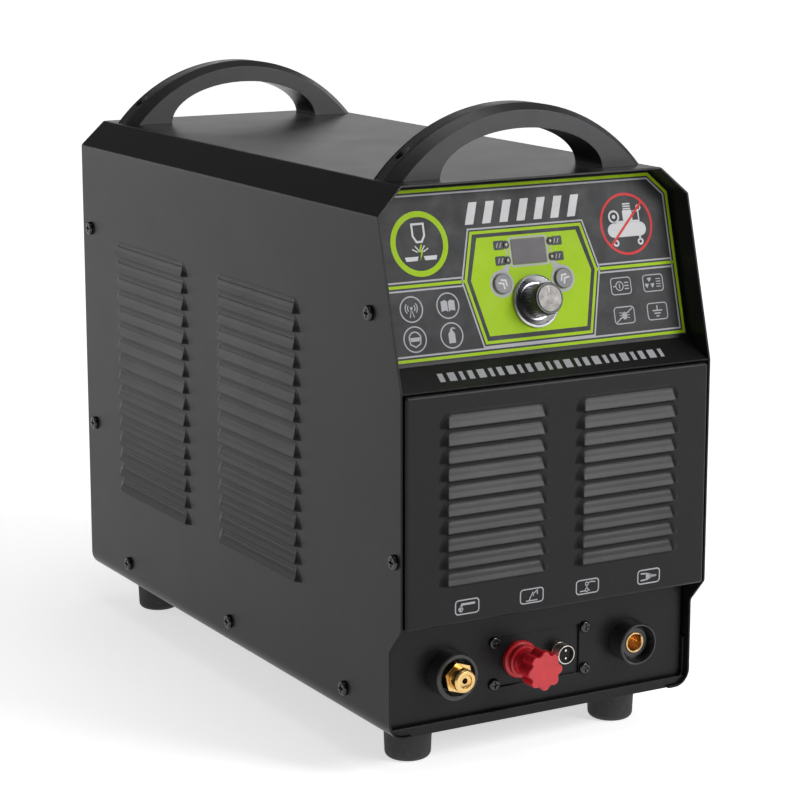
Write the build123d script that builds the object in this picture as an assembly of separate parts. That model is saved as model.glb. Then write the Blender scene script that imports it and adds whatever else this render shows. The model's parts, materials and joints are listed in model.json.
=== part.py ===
from build123d import *
import math
import os

# Plasma cutter power unit with a built-in air compressor, one STEP file per piece.
# Millimetres, +Z up, the front faces -Y. Pieces are built with Y = 0 at the front edge
# of the cover and Z = 0 on the floor; export moves the middle of the depth to Y = 0.

os.makedirs("parts", exist_ok=True)

# ---------------------------------------------------------------- driving dimensions
WIDTH = 280.0            # over the cover
DEPTH = 590.0            # length of the cover
TOP_Z = 454.0            # top sheet above the floor
UNDERSIDE_Z = 33.0       # lowest face of the cover above the floor
SHEET = 1.5              # steel sheet
GAP = 0.3                # between sheets that slide past each other when fitted
CHAMFER_W = 22.7         # shoulder chamfer, sideways
CHAMFER_H = 20.8         # shoulder chamfer, upwards
ROLL_R = 14.0            # rolled lower edges of the cover
FLANGE_EDGE = WIDTH / 2 - ROLL_R - 6     # inner edge of the flanges under the cover

KNEE_Z = 305.8           # where the front edge starts to lean back
LEAN = 0.27              # backwards travel for each unit of height
STEP_TOP_Z = 125.2       # lower front of the cover steps back from here ...
STEP_LOW_Z = 105.0       # ... to here
STEP_BACK = 17.7

HALF = WIDTH / 2
INNER_HALF = HALF - SHEET
CLEAR_HALF = INNER_HALF - GAP
FOOT_H = UNDERSIDE_Z + SHEET + GAP

PANEL_RECESS = 23.6      # slanted control panel behind the front edge
CREASE_Z = 319.6         # where the control panel meets its shelf
LOUVRE_FACE_Y = -2.0
LOUVRE_PANEL_HALF = 136.8
LOUVRE_PANEL_LOW = 124.6
LOUVRE_PANEL_HIGH = 303.8
CONNECTOR_Y = 25.5       # face of the lower connector panel
SOCKET_Z = 78.0          # height of the sockets
DECK_LOW_Z = 237.0       # underside of the deck
REAR_Y = DEPTH - 3.0     # inner face of the rear panel
REAR_OUT_Y = REAR_Y + SHEET

TORCH_X = -84.0
REGULATOR_X = -18.0
CONTROL_X = 19.0
EARTH_X = 84.0

KNOB_V = 39.8            # places on the control panel: sideways, up the slope
BUTTON_UV = [(-27.7, 55.4), (27.7, 55.4)]
LED_UV = [(-20.0, 85.0), (-20.0, 73.0), (20.0, 85.0), (20.0, 73.0)]
DISPLAY_V = 78.8
DISPLAY_W = 31.0
DISPLAY_H = 19.6
LABEL_T = 0.5

FOOT_X = 96.0
FOOT_Y = [66.0, 536.0]
HANDLE_Y = [76.0, 554.0]
HANDLE_DEPTH = 38.0
HANDLE_SCREW_X = 95.0

FAN_Z = 331.0
FAN_SIZE = 120.0
FAN_DEPTH = 38.0
SWITCH_X = -92.0
SWITCH_Z = 130.0
GLAND_X = 88.0
GLAND_Z = 110.0
KNOB_REACH = 37.0        # red knob in front of the connector panel
GLAND_REACH = 27.0       # cable gland behind the rear panel
CENTRE_Y = (CONNECTOR_Y - KNOB_REACH + REAR_OUT_Y + GLAND_REACH) / 2

LEAN_ANGLE = math.atan(LEAN)
CREASE_Y = PANEL_RECESS + LEAN * (CREASE_Z - KNEE_Z)
PANEL = Plane(
    origin=(0, CREASE_Y, CREASE_Z),
    x_dir=(1, 0, 0),
    z_dir=(0, -math.cos(LEAN_ANGLE), math.sin(LEAN_ANGLE)),
)


# ---------------------------------------------------------------- small builders
def block(x0, x1, y0, y1, z0, z1):
    """A box between two corners."""
    centre = Pos((x0 + x1) / 2, (y0 + y1) / 2, (z0 + z1) / 2)
    return centre * Box(x1 - x0, y1 - y0, z1 - z0)


def rod(x, z, radius, y0, y1):
    """A round bar along Y."""
    return Pos(x, (y0 + y1) / 2, z) * Rot(90, 0, 0) * Cylinder(radius, y1 - y0)


def post(x, y, radius, z0, z1):
    """A round bar along Z."""
    return Pos(x, y, (z0 + z1) / 2) * Cylinder(radius, z1 - z0)


def cross_bar(y, z, radius, x0, x1):
    """A round bar along X."""
    return Pos((x0 + x1) / 2, y, z) * Rot(0, 90, 0) * Cylinder(radius, x1 - x0)


def on_panel(u, v, w=0.0):
    """A place on the control panel: u sideways, v up the slope, w out of its face."""
    return PANEL.location * Pos(u, v, w)


def facing(x, y, z, direction):
    """A place whose local +Z points along a direction."""
    return Plane(origin=(x, y, z), z_dir=direction).location


def turned(profile_points):
    """A solid of revolution about Z from (radius, height) points."""
    outline = Polyline(*[(r, 0, z) for r, z in profile_points], close=True)
    return revolve(make_face(outline), Axis.Z, 360)


def side_extrude(points, x0, x1):
    """A prism along X from (y, z) points."""
    outline = Polyline(*[(0, y, z) for y, z in points], close=True)
    return Pos(x0, 0, 0) * extrude(make_face(outline), amount=x1 - x0, dir=(1, 0, 0))


def offset_line(points, distance):
    """Points of an open line moved sideways, with mitred corners."""
    moved = []
    for index, (y, z) in enumerate(points):
        normals = []
        for start, end in ((index - 1, index), (index, index + 1)):
            if start >= 0 and end < len(points):
                dy = points[end][0] - points[start][0]
                dz = points[end][1] - points[start][1]
                length = math.hypot(dy, dz)
                normals.append((-dz / length, dy / length))
        ny = sum(n[0] for n in normals) / len(normals)
        nz = sum(n[1] for n in normals) / len(normals)
        scale = distance / (ny * ny + nz * nz)
        moved.append((y + ny * scale, z + nz * scale))
    return moved


def bent_sheet(points, half_width, thickness=SHEET):
    """A sheet bent along an open (y, z) line, thickness to the left of the line."""
    outline = points + offset_line(points, thickness)[::-1]
    return side_extrude(outline, -half_width, half_width)


def hexagon_bar(across_flats, length):
    """A hexagonal bar on local Z, starting at Z = 0."""
    return extrude(RegularPolygon(across_flats / 2, 6, major_radius=False), length)


def pan_screw(head_r, head_h, shank_r, shank_l):
    """A cross-recess pan screw: the head stands on Z = 0, the shank goes down."""
    head = Pos(0, 0, head_h / 2) * Cylinder(head_r, head_h)
    head = fillet(head.edges().sort_by(Axis.Z)[-1], head_h * 0.6)
    slot = Box(head_r * 1.15, head_r * 0.28, head_h)
    cross = slot + Rot(0, 0, 90) * slot
    shank = Pos(0, 0, -shank_l / 2) * Cylinder(shank_r, shank_l)
    return head + shank - Pos(0, 0, head_h) * cross


# ---------------------------------------------------------------- casing outlines
def cover_outline():
    """Outer cross-section of the cover on the XZ plane, as a face at Y = 0."""
    shoulder = TOP_Z - CHAMFER_H
    flat = HALF - CHAMFER_W
    outline = Polyline(
        (-HALF, 0, UNDERSIDE_Z), (-HALF, 0, shoulder), (-flat, 0, TOP_Z),
        (flat, 0, TOP_Z), (HALF, 0, shoulder), (HALF, 0, UNDERSIDE_Z), close=True,
    )
    face = make_face(outline)
    bends = face.vertices().group_by(Axis.Z)
    face = fillet(bends[0], ROLL_R)
    bends = [v for v in face.vertices() if v.Z > shoulder - 1]
    return fillet(bends, 3.0)


def casing_prism(inset, y0, y1):
    """The cover's cross-section, inset all round, between two depths."""
    face = cover_outline()
    if inset:
        face = offset(face, -inset, kind=Kind.INTERSECTION)
    face = face.faces()[0]
    return Pos(0, y0, 0) * extrude(face, amount=y1 - y0, dir=(0, 1, 0))


def side_outline():
    """Side view of the cover as a prism that is wider than the casing."""
    above = TOP_Z + 20
    lean_top = LEAN * (above - KNEE_Z)
    outline = Polyline(
        (0, STEP_BACK, UNDERSIDE_Z - 5), (0, STEP_BACK, STEP_LOW_Z), (0, 0, STEP_TOP_Z),
        (0, 0, KNEE_Z), (0, lean_top, above), (0, DEPTH, above),
        (0, DEPTH, UNDERSIDE_Z - 5), close=True,
    )
    face = make_face(outline)
    low, high = STEP_LOW_Z - 1, KNEE_Z + 1
    bends = [v for v in face.vertices() if low < v.Z < high]
    face = fillet(bends, 5.0)
    return Pos(-HALF - 10, 0, 0) * extrude(face, amount=WIDTH + 20, dir=(1, 0, 0))


# ---------------------------------------------------------------- louvres
SIDE_ROWS = 16
SIDE_PITCH = 14.53
SIDE_LIP_Z = 341.5       # lip of the top row
SIDE_LENGTH = 152.0
SIDE_CENTRES_Y = [235.0, 441.5]
FRONT_ROWS = 10
FRONT_PITCH = 13.5
FRONT_LIP_Z = 277.5
FRONT_LENGTH = 98.0
FRONT_CENTRES_X = [-59.5, 61.5]
LOUVRE_H = 12.0          # height of the pressing
LOUVRE_REACH = 3.5       # how far its lip stands out
LOUVRE_END = 6.5         # sloping ends
LOUVRE_WALL = 1.2
HOOD_STEPS = [0.0, 0.35, 0.7, 1.0]   # heights at which the hood changes slope


def louvre_hood(length, height, reach, end):
    """A hooded pressing on local XY: lip along X at Y = 0, standing out along +Z."""
    sections = []
    for step in HOOD_STEPS:
        half = length / 2 - end * step ** 2
        crest = length / 2 - end - 2.5 * step
        out = reach * (1 - step) ** 1.4 + 0.15
        y = height * step
        outline = Polyline((-half, y, 0), (-crest, y, out), (crest, y, out), (half, y, 0),
                           close=True)
        sections.append(make_face(outline))
    return loft(sections, ruled=True)


def louvre_pair(length):
    """The hood to add to a sheet and the space to cut out from behind it."""
    hood = louvre_hood(length, LOUVRE_H, LOUVRE_REACH, LOUVRE_END)
    wall = LOUVRE_WALL
    space = louvre_hood(length - 2 * wall, LOUVRE_H - wall, LOUVRE_REACH - wall, LOUVRE_END)
    slot = Pos(0, (LOUVRE_H - wall) / 2 - 1, -SHEET) * Box(
        length - 2 * LOUVRE_END, LOUVRE_H - wall, 2 * SHEET + 0.2)
    return hood, space + Pos(0, -0.2, 0) * space + slot


def press_louvres(sheet_part, places, length):
    """Press one louvre into a sheet at each place."""
    hood, space = louvre_pair(length)
    hoods = [place * hood for place in places]
    spaces = [place * space for place in places]
    return (sheet_part + hoods) - spaces


# ---------------------------------------------------------------- casing
COVER_SCREWS = [(573.0, 358.0), (573.0, 175.0), (46.6, 360.0), (9.5, 177.0),
                (502.0, 56.0), (293.0, 56.0), (89.0, 56.0)]
M4_CLEAR = 2.3


def make_cover():
    """Cover: one sheet over the top and both sides, rolled under at the bottom."""
    shell = casing_prism(0, 0, DEPTH) - casing_prism(SHEET, -5, DEPTH + 5)
    shell -= block(-FLANGE_EDGE, FLANGE_EDGE, -5, DEPTH + 5, UNDERSIDE_Z - 5, UNDERSIDE_Z + 10)
    shell = shell & side_outline()
    for y, z in COVER_SCREWS:
        shell -= cross_bar(y, z, M4_CLEAR, -HALF - 5, HALF + 5)
    for y in HANDLE_Y:
        for x in (-HANDLE_SCREW_X, HANDLE_SCREW_X):
            shell -= post(x, y, 2.8, TOP_Z - 5, TOP_Z + 5)
    places = []
    for side in (-1, 1):
        for centre in SIDE_CENTRES_Y:
            for row in range(SIDE_ROWS):
                z = SIDE_LIP_Z - row * SIDE_PITCH
                wall = Plane(origin=(side * HALF, centre, z), x_dir=(0, side, 0),
                             z_dir=(side, 0, 0))
                places.append(wall.location)
    return press_louvres(shell, places, SIDE_LENGTH)


def make_cover_screws():
    """Fourteen pan screws that hold the cover to the frame."""
    screw = pan_screw(6.0, 3.1, 2.0, 9.0)
    screws = []
    for side in (-1, 1):
        for y, z in COVER_SCREWS:
            screws.append(facing(side * HALF, y, z, (side, 0, 0)) * screw)
    return screws


TRAY_FRONT = 20.5
TRAY_BACK = 584.0
TRAY_WALL_Z = 73.0
TRAY_T = 2.0


def make_base_tray():
    """Base tray: floor, two side walls and a short front and rear lip."""
    inset = SHEET + GAP
    tray = casing_prism(inset, TRAY_FRONT, TRAY_BACK)
    tray -= casing_prism(inset + TRAY_T, TRAY_FRONT + TRAY_T, TRAY_BACK - TRAY_T)
    tray -= block(-HALF, HALF, 0, DEPTH, TRAY_WALL_Z, TOP_Z + 5)
    lip_z = FOOT_H + 6
    inner = HALF - ROLL_R
    apron = FLANGE_EDGE - GAP
    tray += block(-apron, apron, TRAY_FRONT, TRAY_FRONT + TRAY_T, UNDERSIDE_Z, lip_z)
    tray -= block(-HALF, HALF, TRAY_FRONT - 5, TRAY_FRONT + TRAY_T, lip_z, TOP_Z)
    tray -= block(-inner, inner, TRAY_BACK - TRAY_T, TRAY_BACK + 5, lip_z, TOP_Z)
    tray -= block(-HALF, HALF, TRAY_BACK - TRAY_T, TRAY_BACK + 5, lip_z, TOP_Z)
    for x in (-FOOT_X, FOOT_X):
        for y in FOOT_Y:
            tray -= post(x, y, 3.3, FOOT_H - 5, FOOT_H + 10)
    for y, z in COVER_SCREWS[4:]:
        tray -= cross_bar(y, z, M4_CLEAR, -HALF - 5, HALF + 5)
    return tray


def make_deck():
    """Deck: shelf between the compressor below and the inverter above."""
    y0, y1, z = 62.0, 540.0, DECK_LOW_Z
    half = CLEAR_HALF - 4
    deck = block(-half, half, y0, y1, z, z + SHEET)
    for side in (-1, 1):
        x0, x1 = sorted((side * half, side * (half - SHEET)))
        deck += block(x0, x1, y0, y1, z - 18, z)
        for y in (y0 + 25, y1 - 25):
            x0, x1 = sorted((side * half, side * (half - SHEET)))
            deck += block(x0, x1, y - 12, y + 12, TRAY_WALL_Z - 12, z)
    for y in (190.0, 300.0, 410.0):
        deck -= block(-90, 90, y - 12, y + 12, z - 5, z + 10)
    return deck


def make_rear_panel():
    """Rear panel with side flanges and the holes for fan, switch and gland."""
    panel = casing_prism(SHEET + GAP, REAR_Y - 24, REAR_OUT_Y)
    panel -= casing_prism(2 * SHEET + GAP, REAR_Y - 30, REAR_Y)
    panel -= block(-HALF, HALF, REAR_Y - 40, REAR_OUT_Y + 5, 0, FOOT_H + TRAY_T + 1)
    panel -= block(-HALF, HALF, REAR_Y - 40, REAR_Y, 0, TRAY_WALL_Z + 1)
    panel -= block(-HALF, HALF, REAR_Y - 40, REAR_Y, TOP_Z - CHAMFER_H - 4, TOP_Z)
    panel -= rod(0, FAN_Z, 56.0, REAR_Y - 5, REAR_OUT_Y + 5)
    for x, z in fan_corners():
        panel -= rod(x, z, M4_CLEAR, REAR_Y - 5, REAR_OUT_Y + 5)
    panel -= block(SWITCH_X - 12, SWITCH_X + 12, REAR_Y - 5, REAR_OUT_Y + 5,
                   SWITCH_Z - 16, SWITCH_Z + 16)
    panel -= rod(GLAND_X, GLAND_Z, 10.2, REAR_Y - 5, REAR_OUT_Y + 5)
    for y, z in COVER_SCREWS[:2]:
        panel -= cross_bar(y, z, M4_CLEAR, -HALF - 5, HALF + 5)
    return panel


def panel_y(z):
    """Depth of the control panel's face at a height."""
    return PANEL_RECESS + LEAN * (z - KNEE_Z)


def make_control_panel():
    """Control panel: slanted face with a shelf in front of it and side flanges."""
    top_z = TOP_Z - SHEET - 2
    front = (0.2, KNEE_Z + 0.1)
    line = [front, (CREASE_Y, CREASE_Z), (panel_y(top_z), top_z)]
    line = offset_line(line, -SHEET)
    panel = bent_sheet(line, CLEAR_HALF)
    low, high, reach = 334.0, 420.0, 22.0
    cheek = [(panel_y(low), low), (panel_y(high), high),
             (panel_y(high) + reach, high), (panel_y(low) + reach, low)]
    panel += side_extrude(cheek, -CLEAR_HALF, -CLEAR_HALF + SHEET)
    panel += side_extrude(cheek, CLEAR_HALF - SHEET, CLEAR_HALF)
    panel = panel & casing_prism(SHEET + GAP, -5, 120)
    panel -= on_panel(0, KNOB_V) * Cylinder(3.8, 20)
    for u, v in BUTTON_UV:
        panel -= on_panel(u, v) * Cylinder(8.3, 20)
    for u, v in LED_UV:
        panel -= on_panel(u, v) * Cylinder(2.2, 20)
    panel -= on_panel(0, DISPLAY_V) * Box(DISPLAY_W + 0.6, DISPLAY_H + 0.6, 20)
    y, z = COVER_SCREWS[2]
    panel -= cross_bar(y, z, M4_CLEAR, -HALF - 5, HALF + 5)
    return panel


def make_louvre_panel():
    """Front louvre panel: a shallow pan with two columns of pressed louvres."""
    back = CONNECTOR_Y - 0.2
    half, low, high = LOUVRE_PANEL_HALF, LOUVRE_PANEL_LOW, LOUVRE_PANEL_HIGH
    pan = block(-half, half, LOUVRE_FACE_Y, back, low, high)
    rim = pan.faces().sort_by(Axis.Y)[0].edges()
    pan = fillet(rim + pan.edges().filter_by(Axis.Y), 2.4)
    pan -= block(-half + SHEET, half - SHEET, LOUVRE_FACE_Y + SHEET, back + 5,
                 low + SHEET, high - SHEET)
    y, z = COVER_SCREWS[3]
    pan -= cross_bar(y, z, M4_CLEAR, -HALF - 5, HALF + 5)
    places = []
    for x in FRONT_CENTRES_X:
        for row in range(FRONT_ROWS):
            z = FRONT_LIP_Z - row * FRONT_PITCH
            wall = Plane(origin=(x, LOUVRE_FACE_Y, z), x_dir=(1, 0, 0), z_dir=(0, -1, 0))
            places.append(wall.location)
    return press_louvres(pan, places, FRONT_LENGTH)


PLATE_SCREWS = [(x, SOCKET_Z + dz) for x in (-42.2, 42.2) for dz in (-17.1, 17.1)]
CUTOUT_W = 74.4
CUTOUT_H = 40.0


def make_connector_panel():
    """Lower connector panel with the socket holes and a cut-out in the middle."""
    inset = SHEET + TRAY_T + 2 * GAP
    panel = casing_prism(inset, CONNECTOR_Y, CONNECTOR_Y + 16)
    panel -= casing_prism(inset + SHEET, CONNECTOR_Y + SHEET, CONNECTOR_Y + 20)
    low = FOOT_H + TRAY_T + 1.2
    panel -= block(-HALF, HALF, 0, 60, 0, low)
    panel -= block(-HALF, HALF, 0, 60, LOUVRE_PANEL_LOW - 0.2, TOP_Z + 5)
    panel -= block(-HALF, HALF, CONNECTOR_Y + SHEET, 60, 0, TRAY_WALL_Z + 1)
    panel -= rod(TORCH_X, SOCKET_Z, 10.2, 20, 35)
    panel -= rod(EARTH_X, SOCKET_Z, 12.2, 20, 35)
    panel -= block(-CUTOUT_W / 2, CUTOUT_W / 2, 20, 35,
                   SOCKET_Z - CUTOUT_H / 2, SOCKET_Z + CUTOUT_H / 2)
    for x, z in PLATE_SCREWS:
        panel -= rod(x, z, M4_CLEAR, 20, 35)
    return panel


def make_connector_plate():
    """Plate behind the cut-out that carries the regulator and the control socket."""
    y0 = CONNECTOR_Y + SHEET
    plate = block(-47, 47, y0, y0 + SHEET, SOCKET_Z - 25, SOCKET_Z + 25)
    plate = fillet(plate.edges().filter_by(Axis.Y), 3)
    plate -= rod(REGULATOR_X, SOCKET_Z, 9.0, 20, 35)
    plate -= rod(CONTROL_X, SOCKET_Z, 8.2, 20, 35)
    for x, z in PLATE_SCREWS:
        plate -= rod(x, z, 1.9, 20, 35)
    return plate


def make_plate_screws():
    """Four pan screws that hold the plate to the connector panel."""
    screw = pan_screw(4.8, 2.7, 1.8, 8.0)
    return [facing(x, CONNECTOR_Y, z, (0, -1, 0)) * screw for x, z in PLATE_SCREWS]


# ---------------------------------------------------------------- handles and feet
HANDLE_R = 150.0         # outer arch
HANDLE_RISE = 53.7
HANDLE_FACE_R = 140.0    # edge of the flat front face
HANDLE_FACE_RISE = 49.0
HANDLE_GRIP_W = 73.5     # half width and height of the opening
HANDLE_GRIP_H = 35.2
HANDLE_RIDGE = 9.0       # half depth of the full-size middle band


def arch_face(y, radius, rise):
    """The part of a disc that stands above the top sheet, at one depth."""
    centre_z = TOP_Z + rise - radius
    disc = Plane(origin=(0, y, centre_z), x_dir=(1, 0, 0), z_dir=(0, 1, 0)) * Circle(radius)
    above = Pos(0, y, TOP_Z + 100) * Rot(90, 0, 0) * Rectangle(400, 200)
    return (disc & above).faces()[0]


def make_handle(mid_y):
    """An arched handle across the top sheet, with bevelled outer edges."""
    half = HANDLE_DEPTH / 2
    body = extrude(arch_face(mid_y - HANDLE_RIDGE, HANDLE_R, HANDLE_RISE),
                   amount=2 * HANDLE_RIDGE, dir=(0, 1, 0))
    for side in (-1, 1):
        ridge = arch_face(mid_y + side * HANDLE_RIDGE, HANDLE_R, HANDLE_RISE)
        face = arch_face(mid_y + side * half, HANDLE_FACE_R, HANDLE_FACE_RISE)
        body += loft([ridge, face], ruled=True)
    opening = Plane(origin=(0, mid_y, TOP_Z), x_dir=(1, 0, 0), z_dir=(0, -1, 0)) * Ellipse(
        HANDLE_GRIP_W, HANDLE_GRIP_H)
    body -= extrude(opening, amount=half + 5, both=True)
    groove = arch_face(mid_y, HANDLE_R + 5, HANDLE_RISE + 5)
    groove -= arch_face(mid_y, HANDLE_R - 0.9, HANDLE_RISE - 0.9)
    for side in (-1, 1):
        body -= Pos(0, side * (HANDLE_RIDGE - 2), 0) * extrude(
            groove, amount=0.6, both=True, dir=(0, 1, 0))
    for x in (-HANDLE_SCREW_X, HANDLE_SCREW_X):
        body -= post(x, mid_y, 5.2, TOP_Z + 8, TOP_Z + 60)
        body -= post(x, mid_y, 2.8, TOP_Z - 5, TOP_Z + 20)
    return body


def make_handle_screws():
    """Four screws that go down through the feet of the handles."""
    screw = pan_screw(4.6, 3.4, 2.5, 16.0)
    return [Pos(x, y, TOP_Z + 8) * screw
            for y in HANDLE_Y for x in (-HANDLE_SCREW_X, HANDLE_SCREW_X)]


def make_foot(x, y):
    """A rubber foot with a counterbore for its screw."""
    top_r, low_r, bore_r = 19.6, 18.2, 9.0
    foot = turned([(3.3, 14), (3.3, FOOT_H), (top_r, FOOT_H), (low_r, 0),
                   (bore_r, 0), (bore_r, 14)])
    rim = foot.edges().filter_by(GeomType.CIRCLE).group_by(Axis.Z)[0].sort_by(SortBy.RADIUS)
    foot = fillet(rim[-1], 5.0)
    return Pos(x, y, 0) * foot


def make_foot_screws():
    """Four screws with nuts that hold the feet to the base tray."""
    screw = pan_screw(6.0, 3.5, 3.0, FOOT_H - 14 + TRAY_T + 7)
    nut = Pos(0, 0, FOOT_H + TRAY_T) * (hexagon_bar(10.0, 5.0) - Cylinder(3.0, 20))
    screws = []
    for x in (-FOOT_X, FOOT_X):
        for y in FOOT_Y:
            fixing = Pos(0, 0, 14) * Rot(180, 0, 0) * screw
            screws.append(Pos(x, y, 0) * (fixing + nut))
    return screws


# ---------------------------------------------------------------- control panel parts
def make_control_label():
    """Printed film on the control panel, with openings for the controls."""
    half, low, high, cut = 136.0, 2.4, 133.0, 16.5
    outline = Polyline((-half, low), (half, low), (half, high - cut), (half - cut, high),
                       (-half + cut, high), (-half, high - cut), close=True)
    film = extrude(make_face(outline), LABEL_T)
    film -= Pos(0, KNOB_V, 0) * Cylinder(5.0, 5)
    for u, v in BUTTON_UV:
        film -= Pos(u, v, 0) * Cylinder(8.3, 5)
    for u, v in LED_UV:
        film -= Pos(u, v, 0) * Cylinder(2.2, 5)
    film -= Pos(0, DISPLAY_V, 0) * Box(DISPLAY_W + 0.6, DISPLAY_H + 0.6, 5)
    return on_panel(0, 0) * film


BOARD_W0 = -14.0         # back of the circuit board
BOARD_W1 = -12.4


def make_display_window():
    """Tinted window in front of the three-digit display."""
    body = Pos(0, 0, -1.4) * Box(DISPLAY_W, DISPLAY_H, 4.6)
    body = fillet(body.edges().filter_by(Axis.Z), 1.2)
    return on_panel(0, DISPLAY_V) * body


def make_indicator_leds():
    """Four indicator lamps with domed lenses, on leads from the board."""
    lamps = []
    for u, v in LED_UV:
        lens = Pos(0, 0, -1.9) * Cylinder(1.9, 7.2)
        lens = fillet(lens.edges().sort_by(Axis.Z)[-1], 1.0)
        leads = Pos(0, 0, BOARD_W1 / 2 - 2.5) * Cylinder(0.8, -5.0 - BOARD_W1)
        lamps.append(on_panel(u, v) * (lens + leads))
    return lamps


def make_knob_dial():
    """Fixed metal dish round the current knob."""
    dish = turned([(6.0, 0.0), (20.4, 0.0), (20.4, 2.4), (19.0, 3.0), (18.2, 2.6),
                   (14.5, 1.2), (6.0, 1.2)])
    return on_panel(0, KNOB_V, LABEL_T) * dish


KNOB_BASE = LABEL_T + 1.6
KNOB_TOP = 21.4
KNOB_FLUTES = 24


def make_current_knob():
    """Fluted grip of the current knob, hollow for its spindle."""
    body = turned([(3.02, KNOB_BASE), (13.2, KNOB_BASE), (13.2, KNOB_BASE + 1.6),
                   (12.4, KNOB_TOP - 1.2), (11.9, KNOB_TOP), (10.9, KNOB_TOP),
                   (10.9, KNOB_TOP - 1.0), (3.02, KNOB_TOP - 1.0)])
    for index in range(KNOB_FLUTES):
        flute = Rot(0, 0, index * 360 / KNOB_FLUTES) * Pos(13.3, 0, 14) * Cylinder(0.75, 18)
        body -= flute
    return on_panel(0, KNOB_V) * body


def make_knob_cap():
    """Spun metal cap in the end of the knob, with a pointer line."""
    cap = turned([(0, 0), (10.8, 0), (10.8, 1.2), (10.2, 1.6), (0, 1.6)])
    cap -= Pos(0, 6.6, 1.6) * Box(1.5, 6.0, 0.6)
    return on_panel(0, KNOB_V, KNOB_TOP - 1.0) * cap


ENCODER_BACK = -9.0


def make_encoder_shaft():
    """Spindle of the current control."""
    shaft = Cylinder(3.0, KNOB_TOP - 1.2 - ENCODER_BACK)
    return on_panel(0, KNOB_V, (KNOB_TOP - 1.2 + ENCODER_BACK) / 2) * shaft


def make_encoder_body():
    """Fixed body and bush of the current control, behind the panel."""
    front = -2.2
    body = Pos(0, 0, (BOARD_W1 + front) / 2) * Box(14, 14, front - BOARD_W1)
    body += Pos(0, 0, -0.8) * Cylinder(3.6, 4.4)
    body -= Pos(0, 0, ENCODER_BACK + 20) * Cylinder(3.06, 40 + 1.0)
    return on_panel(0, KNOB_V) * body


BUTTON_TRAVEL = 0.8


def make_button(u, v):
    """A round push button with a retaining flange and a stem behind the panel."""
    cap = turned([(0, -2.4), (7.9, -2.4), (7.9, 2.2), (7.2, 2.9), (0, 2.9)])
    flange = Pos(0, 0, -2.5) * Cylinder(9.4, 1.2)
    stem = Pos(0, 0, -4.7) * Cylinder(2.4, 3.6)
    return on_panel(u, v) * (cap + flange + stem)


def make_button_switches():
    """Two tactile switches on the board, one under each button."""
    switches = []
    for u, v in BUTTON_UV:
        body = Pos(0, 0, (BOARD_W1 - 8.6) / 2) * Box(7, 7, -8.6 - BOARD_W1)
        plunger = Pos(0, 0, -8.2) * Cylinder(1.7, 1.0)
        switches.append(on_panel(u, v) * (body + plunger))
    return switches


BOARD_HALF_W = 62.0
BOARD_LOW_V = 18.0
BOARD_HIGH_V = 106.0


def board_corners():
    """Places of the four standoffs on the control panel."""
    return [(u, v) for u in (-BOARD_HALF_W + 6, BOARD_HALF_W - 6)
            for v in (BOARD_LOW_V + 6, BOARD_HIGH_V - 6)]


def make_control_board():
    """Control circuit board behind the panel, with its display and connectors."""
    height = BOARD_HIGH_V - BOARD_LOW_V
    mid_v = (BOARD_HIGH_V + BOARD_LOW_V) / 2
    board = Pos(0, mid_v, (BOARD_W0 + BOARD_W1) / 2) * Box(
        2 * BOARD_HALF_W, height, BOARD_W1 - BOARD_W0)
    board += Pos(0, DISPLAY_V, -8.3) * Box(DISPLAY_W - 2, DISPLAY_H - 2, 8.4)
    board += Pos(-40, 30, BOARD_W0 - 4) * Box(22, 8, 8.4)
    board += Pos(20, 30, BOARD_W0 - 4) * Box(30, 8, 8.4)
    return on_panel(0, 0) * board


def make_board_standoffs():
    """Four standoffs between the panel and the board."""
    length = -SHEET - BOARD_W1
    return [on_panel(u, v, -SHEET - length / 2) * Cylinder(3.4, length)
            for u, v in board_corners()]


# ---------------------------------------------------------------- sockets
SOCKET_REACH = 16.0      # how far the collars stand out
PLUG_R = 6.55            # bore for a 13 mm cable plug
AIR_R = 2.3              # air passage of the torch nipple
TORCH_SEAT = 18.0        # the nipple is turned to its full size from here ...
TORCH_REACH = 27.5       # ... to its tip


def facing_front(x, y):
    """A place at socket height whose local +Z points out of the front."""
    return facing(x, y, SOCKET_Z, (0, -1, 0))


def make_torch_collar():
    """Insulating collar of the torch socket."""
    collar = turned([(9.3, -9), (10.0, -9), (10.0, 0), (18.5, 0), (18.5, SOCKET_REACH - 1),
                     (17.5, SOCKET_REACH), (15.2, SOCKET_REACH), (14.6, 5), (9.3, 5)])
    return facing_front(TORCH_X, CONNECTOR_Y) * collar


def make_torch_nipple():
    """Brass nipple that carries both air and current to the torch."""
    tip = TORCH_REACH
    body = turned([(0, -34), (8.9, -34), (8.9, TORCH_SEAT), (9.2, TORCH_SEAT),
                   (9.2, tip - 1.2), (8.0, tip), (5.6, tip),
                   (5.0, tip - 1.2), (3.4, tip - 1.6), (AIR_R, tip - 1.6),
                   (AIR_R, tip - 20), (0, tip - 20)])
    return facing_front(TORCH_X, CONNECTOR_Y) * body


def make_torch_nut():
    """Hexagon nut that holds the nipple in its collar."""
    low = 9.0
    nut = hexagon_bar(22.0, TORCH_SEAT - 0.4 - low) - Cylinder(9.2, 40)
    return facing_front(TORCH_X, CONNECTOR_Y) * Pos(0, 0, low) * Rot(0, 0, 12) * nut


def make_earth_collar():
    """Insulating collar of the earth cable socket."""
    reach = SOCKET_REACH
    collar = turned([(8.6, -8), (12.0, -8), (12.0, 0), (17.0, 0), (17.0, reach - 1),
                     (16.2, reach), (15.3, reach), (14.8, 4.5), (12.2, 4.5), (12.0, 9.4),
                     (8.6, 9.4)])
    return facing_front(EARTH_X, CONNECTOR_Y) * collar


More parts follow.
